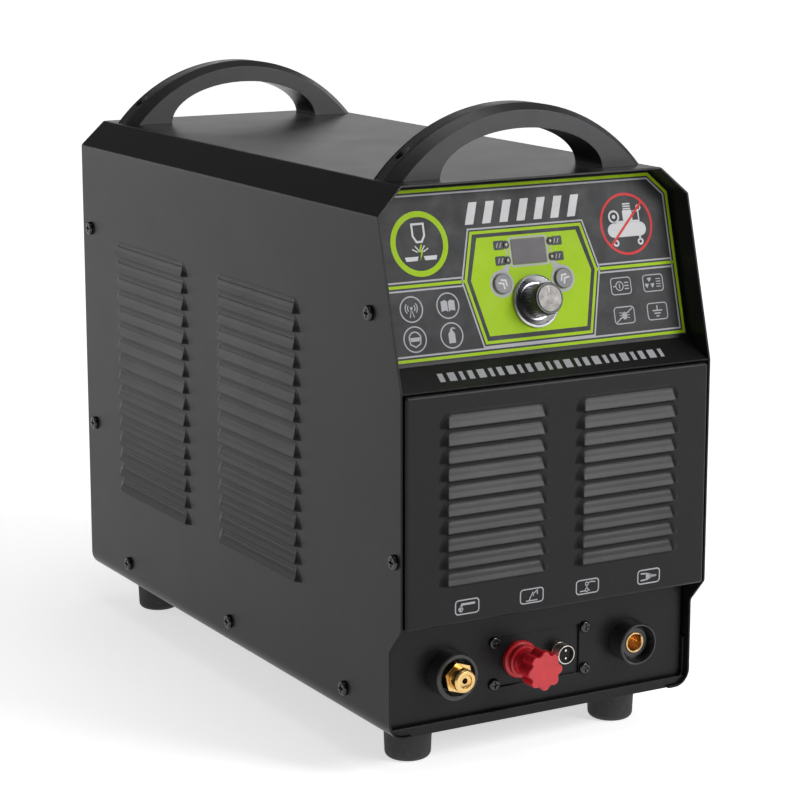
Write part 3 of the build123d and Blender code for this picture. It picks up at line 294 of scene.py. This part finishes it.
def paint_nodes():
    """Give every CAD node its material and smooth its rounded faces."""
    for key, names in NODE_MATERIALS.items():
        for name in names:
            obj = frame["nodes"][name]
            obj.data.materials.clear()
            obj.data.materials.append(MATERIALS[key])
            obj.data.set_sharp_from_angle(angle=math.radians(28))


paint_nodes()


# ---------------------------------------------------------------- flat artwork
class Art:
    """Thin printed shapes on one plane, drawn in millimetres and sorted by ink."""

    def __init__(self, place, height=0.05):
        self.place = place
        self.height = height
        self.meshes = {}

    def _mesh(self, ink):
        if ink not in self.meshes:
            self.meshes[ink] = bmesh.new()
        return self.meshes[ink]

    def _verts(self, mesh, points, w):
        return [mesh.verts.new(self.place @ Vector((u * MM, v * MM, w * MM)))
                for u, v in points]

    def band(self, ink, left, right, closed=False, lift=0.0):
        """A solid strip between two lines with the same number of points."""
        mesh = self._mesh(ink)
        low = [self._verts(mesh, side, lift) for side in (left, right)]
        top = [self._verts(mesh, side, lift + self.height) for side in (left, right)]
        count = len(left)
        for i in range(count if closed else count - 1):
            j = (i + 1) % count
            mesh.faces.new((top[0][i], top[0][j], top[1][j], top[1][i]))
            mesh.faces.new((low[0][i], low[1][i], low[1][j], low[0][j]))
            mesh.faces.new((low[0][i], low[0][j], top[0][j], top[0][i]))
            mesh.faces.new((low[1][j], low[1][i], top[1][i], top[1][j]))
        if not closed:
            for i in (0, count - 1):
                mesh.faces.new((low[0][i], top[0][i], top[1][i], low[1][i]))

    def fill(self, ink, points, lift=0.0):
        """A solid flat shape inside an outline."""
        mesh = self._mesh(ink)
        low = self._verts(mesh, points, lift)
        top = self._verts(mesh, points, lift + self.height)
        mesh.faces.new(top)
        mesh.faces.new(low[::-1])
        for i in range(len(points)):
            j = (i + 1) % len(points)
            mesh.faces.new((low[i], low[j], top[j], top[i]))

    def line(self, ink, points, width, closed=False, lift=0.0):
        """A line of even width through points, with mitred corners."""
        left, right = [], []
        count = len(points)
        for i, point in enumerate(points):
            here = Vector(point)
            before = Vector(points[i - 1]) if closed or i else None
            after = Vector(points[(i + 1) % count]) if closed or i < count - 1 else None
            ways = [(b - a).normalized() for a, b in ((before, here), (here, after))
                    if a is not None and b is not None]
            normals = [Vector((-way.y, way.x)) for way in ways]
            normal = sum(normals, Vector((0, 0))) / len(normals)
            normal *= width / 2 / max(normal.length_squared, 0.2)
            left.append(tuple(here + normal))
            right.append(tuple(here - normal))
        self.band(ink, right, left, closed, lift)

    def ring(self, ink, centre, radius, width, lift=0.0):
        """A closed circle of even width."""
        inner, outer = radius - width / 2, radius + width / 2
        self.band(ink, arc(centre, inner, 0, 352.5, 48), arc(centre, outer, 0, 352.5, 48),
                  True, lift)

    def disc(self, ink, centre, radius, lift=0.0):
        """A filled circle."""
        self.fill(ink, arc(centre, radius, 0, 348.75, 32), lift)

    def finish(self, prefix, body="housing"):
        """Make one object for each ink."""
        for ink, mesh in self.meshes.items():
            bmesh.ops.recalc_face_normals(mesh, faces=mesh.faces)
            add_piece(f"{prefix}_{ink}", mesh, MATERIALS[ink], body)


def add_piece(name, mesh, material, body, smooth=False):
    """Turn a bmesh into a piece that rides on a body."""
    data = bpy.data.meshes.new(name)
    mesh.to_mesh(data)
    mesh.free()
    data.materials.append(material)
    if smooth:
        data.polygons.foreach_set("use_smooth", [True] * len(data.polygons))
        data.set_sharp_from_angle(angle=math.radians(35))
    obj = bpy.data.objects.new(name, data)
    bpy.context.scene.collection.objects.link(obj)
    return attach(obj, body)


def arc(centre, radius, start, end, count=24, squash=1.0):
    """Points on an arc, in degrees from +u towards +v."""
    points = []
    for i in range(count):
        angle = math.radians(start + (end - start) * i / (count - 1))
        points.append((centre[0] + radius * math.cos(angle),
                       centre[1] + radius * squash * math.sin(angle)))
    return points


def rounded_box(centre, width, height, radius):
    """Outline of a rounded rectangle."""
    u, v = centre
    du, dv = width / 2 - radius, height / 2 - radius
    corners = ((du, dv, 0), (-du, dv, 90), (-du, -dv, 180), (du, -dv, 270))
    return [p for cu, cv, a in corners for p in arc((u + cu, v + cv), radius, a, a + 90, 6)]


def turned_to(points, centre, angle):
    """Points turned about a centre."""
    c, s = math.cos(math.radians(angle)), math.sin(math.radians(angle))
    return [(centre[0] + (u - centre[0]) * c - (v - centre[1]) * s,
             centre[1] + (u - centre[0]) * s + (v - centre[1]) * c) for u, v in points]


def moved(points, du, dv):
    """Points shifted across and up."""
    return [(u + du, v + dv) for u, v in points]


def mirrored(points):
    """Points mirrored left to right, in the same turning direction."""
    return [(-u, v) for u, v in reversed(points)]


# ---------------------------------------------------------------- places
def plane_matrix(origin, right, normal):
    """Frame with u along right, w along the normal, and v up the plane."""
    x, z = Vector(right).normalized(), Vector(normal).normalized()
    y = z.cross(x)
    matrix = Matrix((x, y, z)).transposed().to_4x4()
    matrix.translation = Vector(origin)
    return matrix


KNOB_JOINT = next(j for j in RECORD["behaviour"]["joints"] if j["name"] == "current_knob_turn")
PANEL_NORMAL = Vector(KNOB_JOINT["axis"])
PANEL_UP = PANEL_NORMAL.cross(Vector((1, 0, 0)))
KNOB_V = 39.8            # middle of the current knob, up the panel
KNOB_PIVOT = 10          # the joint's place, above the panel's face
FILM_TOP = 0.5           # face of the film, above the panel's face


def control_panel_place():
    """Face of the control panel, with its zero where the panel meets the shelf."""
    knob = Vector(KNOB_JOINT["pos_m"])
    origin = knob - PANEL_NORMAL * KNOB_PIVOT * MM - PANEL_UP * KNOB_V * MM
    return plane_matrix(origin, (1, 0, 0), PANEL_NORMAL)


PANEL = control_panel_place()
FILM = PANEL @ Matrix.Translation((0, 0, FILM_TOP * MM))


# ---------------------------------------------------------------- printed film
BORDER_HALF = 134.3
BORDER_LOW = 4.5
BORDER_HIGH = 131.0
DIVIDER_V = 60.0         # line between the ring mark and the round icons
LIME_LINE = 2.3          # widths of the border lines
PALE_LINE = 1.3
LINE_GAP = 3.2           # from a lime line to the pale line beside it


def border_outline(inset):
    """Border of the film, moved inwards."""
    half, low, high = BORDER_HALF - inset, BORDER_LOW + inset, BORDER_HIGH - inset
    cut = 15.4 - inset * 0.6
    return [(-half, low), (half, low), (half, high - cut), (half - cut, high),
            (-half + cut, high), (-half, high - cut)]


def hexagon(top, middle, bottom, low, high):
    """Six-sided outline round the controls: half widths and heights."""
    right = [(bottom, low), (middle, DIVIDER_V), (top, high)]
    return right + mirrored(right)


def draw_frame_lines(art):
    """Border, dividers, and the lime field with its two outlines."""
    art.line("lime", border_outline(0), LIME_LINE, True)
    art.line("pale", border_outline(LINE_GAP), PALE_LINE, True)
    art.line("lime", hexagon(49.5, 59.2, 47.6, 12.0, 96.0), LIME_LINE, True, 0.01)
    art.line("pale", hexagon(51.8, 62.4, 50.2, 8.9, 99.0), PALE_LINE, True)
    art.fill("lime", hexagon(45.0, 54.6, 44.2, 16.7, 92.0))
    for side in (-1, 1):
        art.line("lime", [(side * 59.5, DIVIDER_V), (side * BORDER_HALF, DIVIDER_V)], LIME_LINE)
        for v in (DIVIDER_V - LINE_GAP, DIVIDER_V + LINE_GAP):
            art.line("pale", [(side * 62.4, v), (side * 131.0, v)], PALE_LINE, lift=0.005)


TITLE_BARS = 7
TITLE_START = -48.0
TITLE_PITCH = 15.4
TITLE_LOW = 102.6
TITLE_HIGH = 119.4


def draw_title(art):
    """Generic gauge of slanted bars in place of a title."""
    for index in range(TITLE_BARS):
        u = TITLE_START + index * TITLE_PITCH
        bar = [(u - 5.6, TITLE_LOW), (u + 1.8, TITLE_LOW), (u + 7.4, TITLE_HIGH), (u, TITLE_HIGH)]
        art.fill("white", bar)


def draw_ring_mark(art):
    """Closed lime ring with a cutting arc on a plate."""
    centre = (-95.0, 91.2)
    art.ring("lime", centre, 22.6, 4.4)
    u, v = centre
    left_plate = [(-14, -9.4), (-2.2, -9.4), (-3.4, -12.6), (-13, -12.6)]
    art.fill("white", moved(left_plate, u, v))
    art.fill("white", moved(mirrored(left_plate), u, v))
    nozzle = [(u - 5, v + 15), (u + 5, v + 15), (u + 5, v + 6), (u + 2.2, v + 1.5),
              (u - 2.2, v + 1.5), (u - 5, v + 6)]
    art.line("white", nozzle, 1.6, True)
    bolt = [(u + 0.9, v - 0.6), (u - 1.8, v - 6.2), (u + 0.5, v - 6.2), (u - 1.1, v - 13.4),
            (u + 2.6, v - 5.0), (u + 0.4, v - 5.0), (u + 2.2, v - 0.6)]
    art.fill("lime", bolt)
    for side in (-1, 1):
        for angle in (28, 52):
            spark = [(u + side * 3.6, v - 7.6), (u + side * 8.6, v - 7.6)]
            art.line("white", turned_to(spark, (u, v - 9.0), side * angle), 0.9)


def draw_compressor(art):
    """Crossed-out compressor: the unit has its own air supply."""
    u, v = 93.0, 93.2
    art.fill("white", rounded_box((u, v - 4.6), 36.0, 11.0, 5.4))
    for wheel in (u - 11.5, u + 11.5):
        art.ring("white", (wheel, v - 14.6), 2.0, 1.5)
        art.line("white", [(wheel, v - 12.6), (wheel, v - 9.8)], 1.8)
    art.fill("white", [(u - 12, v + 1.0), (u + 13, v + 1.0), (u + 13, v + 2.6), (u - 12, v + 2.6)])
    art.ring("white", (u - 11.0, v + 6.2), 4.4, 1.5)
    art.disc("white", (u - 11.0, v + 6.2), 1.6)
    art.fill("white", rounded_box((u + 2.0, v + 6.6), 9.0, 8.6, 1.2))
    for row in range(3):
        low = v + 11.4 + row * 1.9
        high = low + 1.1
        art.fill("white", [(u - 1.5, low), (u + 5.5, low), (u + 5.5, high), (u - 1.5, high)])
    art.line("white", [(u + 7.5, v + 9.6), (u + 12.4, v + 9.6), (u + 12.4, v + 2.0)], 1.2)
    art.ring("white", (u + 13.0, v + 12.2), 1.9, 1.0)
    art.ring("signal", (u, v), 23.6, 2.0, 0.02)
    reach = 22.8 / math.sqrt(2)
    art.line("signal", [(u - reach, v - reach), (u + reach, v + reach)], 2.0, lift=0.06)


def draw_waves_icon(art, u, v):
    """Mast with waves on both sides."""
    art.disc("pale", (u, v + 0.8), 1.1)
    for way in (0, 180):
        for radius in (3.2, 5.2):
            art.line("pale", arc((u, v + 0.8), radius, way - 42, way + 42, 9), 0.8)
    art.line("pale", [(u - 1.8, v - 6.2), (u, v + 0.4), (u + 1.8, v - 6.2)], 0.9)


def draw_book_icon(art, u, v):
    """Open book."""
    page = [(0.35, -4.6), (2.4, -3.4), (6.0, -4.2), (6.0, 3.4), (2.4, 4.4), (0.35, 3.0)]
    art.fill("pale", moved(page, u, v))
    art.fill("pale", moved(mirrored(page), u, v))


def draw_shield_icon(art, u, v):
    """Face shield."""
    art.line("pale", arc((u, v + 0.6), 5.0, 0, 180, 13), 1.0)
    visor = [(-4.4, 1.4), (4.4, 1.4), (3.6, -1.6), (-3.6, -1.6)]
    art.fill("pale", moved(visor, u, v))
    art.line("pale", [(u - 5.0, v + 0.6), (u - 4.2, v - 3.6), (u, v - 5.8), (u + 4.2, v - 3.6),
                      (u + 5.0, v + 0.6)], 1.0)


def draw_bottle_icon(art, u, v):
    """Gas bottle with its valve."""
    body = [(-2.9, -5.8), (2.9, -5.8), (2.9, 1.4), (1.0, 3.6), (1.0, 5.2), (-1.0, 5.2),
            (-1.0, 3.6), (-2.9, 1.4)]
    art.fill("pale", moved(body, u, v))
    art.line("pale", [(u + 0.4, v + 5.8), (u + 3.6, v + 5.0)], 0.9)


def draw_round_icons(art):
    """Four ringed pictures at the lower left of the film."""
    drawings = {(-109.2, 42.9): draw_waves_icon, (-77.5, 43.1): draw_book_icon,
                (-109.3, 20.3): draw_shield_icon, (-77.4, 20.5): draw_bottle_icon}
    for (u, v), draw in drawings.items():
        art.ring("pale", (u, v), 9.5, 1.0)
        draw(art, u, v)


def draw_plug_icon(art, u, v):
    """Round mark with a lead and three lines."""
    art.ring("pale", (u - 1.4, v), 3.4, 0.8)
    art.line("pale", [(u - 1.4, v - 1.8), (u - 1.4, v + 1.8)], 0.9)
    art.line("pale", [(u - 7.4, v), (u - 4.8, v)], 0.9)
    for step in (-2.4, 0.0, 2.4):
        art.line("pale", [(u + 3.2, v + step), (u + 7.2, v + step)], 0.9)


def draw_fan_icon(art, u, v):
    """Three blades and an air stream."""
    for turn in (90, 210, 330):
        blade = [(0.8, 0.0), *arc((0, 0), 4.4, -28, 28, 6)]
        art.fill("pale", moved(turned_to(blade, (0, 0), turn), u - 3.4, v))
    for step in (-3.0, -1.0, 1.0, 3.0):
        art.line("pale", [(u + 2.8, v + step), (u + 7.2, v + step)], 0.7)


def draw_insect_icon(art, u, v):
    """Keep small animals and swarf out."""
    art.fill("pale", arc((u, v - 0.4), 2.3, 0, 345, 18, 1.3))
    for side in (-1, 1):
        for height in (-2.2, 0.0, 2.2):
            art.line("pale", [(u, v + height * 0.6), (u + side * 4.6, v + height)], 0.6)
    art.line("pale", [(u - 7.8, v - 5.2), (u + 7.8, v + 5.2)], 0.8, lift=0.01)


def draw_earth_icon(art, u, v):
    """Plain earth sign."""
    art.line("pale", [(u, v + 4.6), (u, v + 0.6)], 1.0)
    for half, step in ((4.6, 0.6), (3.0, -1.6), (1.4, -3.8)):
        art.line("pale", [(u - half, v + step), (u + half, v + step)], 1.0)


def draw_square_icons(art):
    """Four boxed pictures at the lower right of the film."""
    drawings = {(80.4, 45.0): draw_plug_icon, (110.9, 45.0): draw_fan_icon,
                (80.2, 22.0): draw_insect_icon, (111.6, 22.5): draw_earth_icon}
    for (u, v), draw in drawings.items():
        art.line("pale", rounded_box((u, v), 18.6, 13.0, 2.6), 0.8, True)
        draw(art, u, v)


# Controls on the lime field, in millimetres across and up the panel
DISPLAY_V = 78.8
BUTTON_U = 27.7
BUTTON_V = 55.4
BUTTON_TOP = 2.9         # top of a button, above the panel's face
LED_U = 20.0
LED_ROWS = (73.0, 85.0)


def draw_control_marks(art):
    """Marks on the lime field: display surround, lamp tags and button surrounds."""
    raised = 0.05
    art.line("pale", rounded_box((0, DISPLAY_V), 33.4, 21.8, 1.4), 1.4, True, raised)
    for side in (-1, 1):
        for row in LED_ROWS:
            art.fill("ink", rounded_box((side * 26.2, row), 9.6, 7.2, 1.4), raised)
            art.disc("ink", (side * LED_U, row), 3.3, raised)
            for step in (-1.6, 1.4):
                art.line("pale", [(side * 26.0 + step - 0.9, row - 1.8),
                                  (side * 26.0 + step + 0.6, row + 1.8)], 0.7, lift=raised + 0.05)
        drop = [(side * 18.2, 69.6), (side * 22.0, 69.6), (side * 34.6, 60.4),
                (side * 22.0, 60.4)]
        art.fill("pale", drop, raised)
        art.ring("pale", (side * BUTTON_U, BUTTON_V), 9.4, 2.2, raised + 0.01)
        art.line("pale", [(side * LED_U, 75.6), (side * LED_U, 82.4)], 1.0, lift=raised)


def draw_chevrons(side, body):
    """Two chevrons on a button's cap, pointing up and towards the display."""
    top = PANEL @ Matrix.Translation((0, 0, BUTTON_TOP * MM))
    art = Art(top, 0.04)
    u, v = side * BUTTON_U, BUTTON_V
    for step in (-2.6, 0.6):
        mark = [(u - 3.6, v + step), (u, v + step + 2.6), (u + 3.6, v + step)]
        art.line("white", turned_to(mark, (u, v), side * 45), 1.5)
    art.finish(f"{body}_mark", body)


def make_film_art():
    """Everything printed on the film, and the marks on the two buttons."""
    art = Art(FILM)
    draw_frame_lines(art)
    draw_title(art)
    draw_ring_mark(art)
    draw_compressor(art)
    draw_round_icons(art)
    draw_square_icons(art)
    draw_control_marks(art)
    art.finish("film")
    draw_chevrons(-1, "left_button")
    draw_chevrons(1, "right_button")


CAP_GROOVE = 21.72       # floor of the groove in the knob's cap, above the panel


def make_knob_pointer():
    """White line let into the cap of the current knob."""
    art = Art(PANEL @ Matrix.Translation((0, 0, CAP_GROOVE * MM)), 0.22)
    art.fill("white", rounded_box((0, KNOB_V + 6.6), 1.3, 5.8, 0.3))
    art.finish("knob_pointer", "current_control")


make_film_art()
make_knob_pointer()


# ---------------------------------------------------------------- shelf and louvre panel marks
SHELF_DROP = 13.7        # from the panel's foot down to the front of the shelf
DASH_COUNT = 24
DASH_START = -101.0
DASH_WIDTHS = (4.6, 6.4, 3.4)
DASH_GAP = 3.83
DASH_SLANT = 1.6


def shelf_place():
    """Sloping shelf in front of the control panel."""
    crease = PANEL.translation
    front = Vector((0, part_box("cover")[0].y + 0.2 * MM, crease.z - SHELF_DROP * MM))
    slope = (crease - front).normalized()
    return plane_matrix(front, (1, 0, 0), Vector((1, 0, 0)).cross(slope))


def make_shelf_marks():
    """Row of slanted dashes along the shelf in place of lettering."""
    art = Art(shelf_place() @ Matrix.Translation((0, 0, 0.02 * MM)), 0.06)
    u = DASH_START
    for index in range(DASH_COUNT):
        width = DASH_WIDTHS[index % len(DASH_WIDTHS)]
        top = u + DASH_SLANT
        art.fill("pale", [(u, 9.4), (u + width, 9.4), (top + width, 19.4), (top, 19.4)])
        u += width + DASH_GAP
    art.finish("shelf")


def draw_torch_sign(art, u, v):
    """Cutting torch."""
    art.line("pale", [(u - 6.4, v - 2.6), (u - 4.6, v + 2.2), (u + 7.0, v + 2.2)], 1.7)
    art.ring("pale", (u - 5.6, v - 1.6), 1.7, 0.8)


def draw_air_sign(art, u, v):
    """Torch over a plate with an air jet."""
    art.line("pale", [(u - 5.2, v - 3.8), (u + 5.2, v - 3.8)], 0.9)
    art.line("pale", [(u - 2.4, v - 3.4), (u + 0.8, v + 2.6), (u + 1.6, v - 0.4)], 0.9)
    art.line("pale", [(u + 1.6, v + 1.8), (u + 5.0, v + 3.8), (u + 5.0, v + 0.6)], 0.9)


def draw_switch_sign(art, u, v):
    """Open switch contact, for the torch trigger."""
    for height in (-2.6, 2.2):
        art.ring("pale", (u - 0.6, v + height), 1.3, 0.8)
    art.line("pale", [(u + 0.6, v + 2.4), (u + 3.0, v + 3.6), (u + 7.4, v + 3.0)], 0.9)
    art.line("pale", [(u - 7.0, v - 3.4), (u - 2.0, v - 3.2)], 0.9)
    art.line("pale", [(u + 0.4, v - 3.2), (u + 2.2, v - 3.2)], 0.9)
    art.line("pale", [(u - 0.6, v - 1.2), (u - 0.6, v + 0.8)], 0.8)


def draw_clamp_sign(art, u, v):
    """Earth clamp."""
    jaw = [(-7.6, 2.8), (-1.8, 2.4), (3.6, 0.4), (7.4, 0.2)]
    art.line("pale", moved(jaw, u, v), 1.1)
    art.line("pale", moved([(a, -b) for a, b in jaw], u, v), 1.1)
    art.fill("pale", moved([(-2.6, -1.8), (2.8, -1.2), (2.8, 1.2), (-2.6, 1.8)], u, v))


LOUVRE_REACH = 3.5       # of the louvres, in front of their panel's face
SIGN_HEIGHT = 137.5      # above the floor


def make_panel_signs():
    """Four signs above the sockets."""
    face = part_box("louvre_panel")[0].y + LOUVRE_REACH * MM
    art = Art(plane_matrix((0, face, 0), (1, 0, 0), (0, -1, 0)), 0.08)
    drawings = {-83.5: draw_torch_sign, -25.6: draw_air_sign, 25.6: draw_switch_sign,
                83.5: draw_clamp_sign}
    for u, draw in drawings.items():
        art.line("pale", rounded_box((u, SIGN_HEIGHT), 20.6, 11.0, 2.6), 1.0, True)
        draw(art, u, SIGN_HEIGHT)
    art.finish("sign")


make_shelf_marks()
make_panel_signs()


# ---------------------------------------------------------------- turned pieces
def lathe(name, profile, place, material, body, steps=48):
    """A turned piece from a closed (radius, height) profile in millimetres."""
    mesh = bmesh.new()
    rings = []
    for radius, height in profile:
        ring = []
        for i in range(steps):
            angle = 2 * math.pi * i / steps
            ring.append(mesh.verts.new(place @ Vector((
                radius * math.cos(angle) * MM, radius * math.sin(angle) * MM, height * MM))))
        rings.append(ring)
    for a in range(len(rings)):
        b = (a + 1) % len(rings)
        for i in range(steps):
            j = (i + 1) % steps
            mesh.faces.new((rings[a][i], rings[a][j], rings[b][j], rings[b][i]))
    bmesh.ops.recalc_face_normals(mesh, faces=mesh.faces)
    return add_piece(name, mesh, material, body, True)


def socket_place(node):
    """Axis of a front socket from its CAD box, starting at its frontmost point."""
    low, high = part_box(node)
    return plane_matrix(((low.x + high.x) / 2, low.y, (low.z + high.z) / 2), (1, 0, 0),
                        (0, -1, 0))


SHELL_BORE_R = 6.95
SHELL_CREST_R = 7.95
SHELL_ROOT_R = 7.55
THREAD_PITCH = 1.2
THREAD_TURNS = 7
THREAD_START = -9.0      # behind the front end of the shell


def make_control_thread():
    """Shell of the control socket with its thread, in place of the plain CAD shell."""
    low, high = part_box("control_shell")
    place = socket_place("control_shell")
    length = (high.y - low.y) / MM
    crest = SHELL_CREST_R
    profile = [(SHELL_BORE_R, -length), (crest, -length), (crest, THREAD_START - 0.3)]
    for turn in range(THREAD_TURNS):
        top = THREAD_START + turn * THREAD_PITCH
        profile += [(SHELL_ROOT_R, top), (crest, top + 0.45), (crest, top + 0.6)]
    profile += [(7.7, -0.4), (7.4, -0.05), (SHELL_BORE_R, -0.05)]
    shell = lathe("control_socket_thread", profile, place, MATERIALS["nickel"], "housing")
    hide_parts("control_shell")


make_control_thread()


# ---------------------------------------------------------------- floor and light
FLOOR_HALF = 30.0
GLOW_NEAR = 0.62         # glow of the floor beside the unit, out to FLOOR_NEAR metres
GLOW_FAR = 0.92          # glow from FLOOR_FAR metres outwards
FLOOR_NEAR = 0.9
FLOOR_FAR = 3.0
WORLD_STRENGTH = 0.14
LAMPS = {
    # name: place, aimed at, size, watts
    "key": ((1.18, -2.0, 1.28), (0, -0.25, 0.3), (0.9, 0.9), 36.0),
    "overhead": ((0.3, -0.3, 2.4), (0, 0, 0.4), (1.6, 1.6), 16.0),
    "left": ((-2.4, -0.2, 1.1), (0, 0, 0.25), (1.2, 1.2), 2.0),
    "rear_low": ((1.45, 2.5, 1.05), (0, 0, 0.45), (2.2, 0.7), 5.0),
    "rear_left": ((-1.24, 1.83, 0.58), (-0.14, 0, 0.25), (0.9, 0.4), 3.6),
}


def make_floor():
    """Plain pale floor that glows a little more away from the unit."""
    mesh = bmesh.new()
    bmesh.ops.create_grid(mesh, x_segments=8, y_segments=8, size=FLOOR_HALF)
    data = bpy.data.meshes.new("floor")
    mesh.to_mesh(data)
    mesh.free()
    n = Nodes("floor_pale")
    tone = n.mix(n.span(n.noise(3.0), 0.0, 1.0), (0.93, 0.93, 0.93), (0.95, 0.95, 0.95))
    n.link(tone, n.shader.inputs["Base Color"])
    n.shader.inputs["Roughness"].default_value = 0.9
    n.shader.inputs["Specular IOR Level"].default_value = 0.1
    n.shader.inputs["Emission Color"].default_value = (1.0, 1.0, 1.0, 1.0)
    away = n.add("ShaderNodeVectorMath", operation="LENGTH")
    n.link(n.place, away.inputs[0])
    glow = n.span(away.outputs["Value"], GLOW_NEAR, GLOW_FAR, FLOOR_NEAR, FLOOR_FAR)
    n.link(glow, n.shader.inputs["Emission Strength"])
    data.materials.append(n.material)
    floor = bpy.data.objects.new("floor", data)
    bpy.context.scene.collection.objects.link(floor)


def area_light(name, position, target, size, power):
    """A white rectangular lamp aimed at a point."""
    data = bpy.data.lights.new(name, "AREA")
    data.shape = "RECTANGLE"
    data.size, data.size_y = size
    data.energy = power
    light = bpy.data.objects.new(name, data)
    bpy.context.scene.collection.objects.link(light)
    light.location = position
    aim = Vector(target) - Vector(position)
    light.rotation_mode = "QUATERNION"
    light.rotation_quaternion = aim.to_track_quat("-Z", "Y")


def make_light():
    """Soft studio light. The key shows in the front louvres, rear_left in the side ones."""
    world = bpy.data.worlds.new("studio")
    bpy.context.scene.world = world
    world.use_nodes = True
    background = world.node_tree.nodes["Background"]
    background.inputs["Color"].default_value = (1.0, 1.0, 1.0, 1.0)
    background.inputs["Strength"].default_value = WORLD_STRENGTH
    for name, (position, target, size, power) in LAMPS.items():
        area_light(name, position, target, size, power)
    scene = bpy.context.scene
    scene.view_settings.view_transform = "Standard"
    scene.view_settings.look = "None"


make_floor()
make_light()
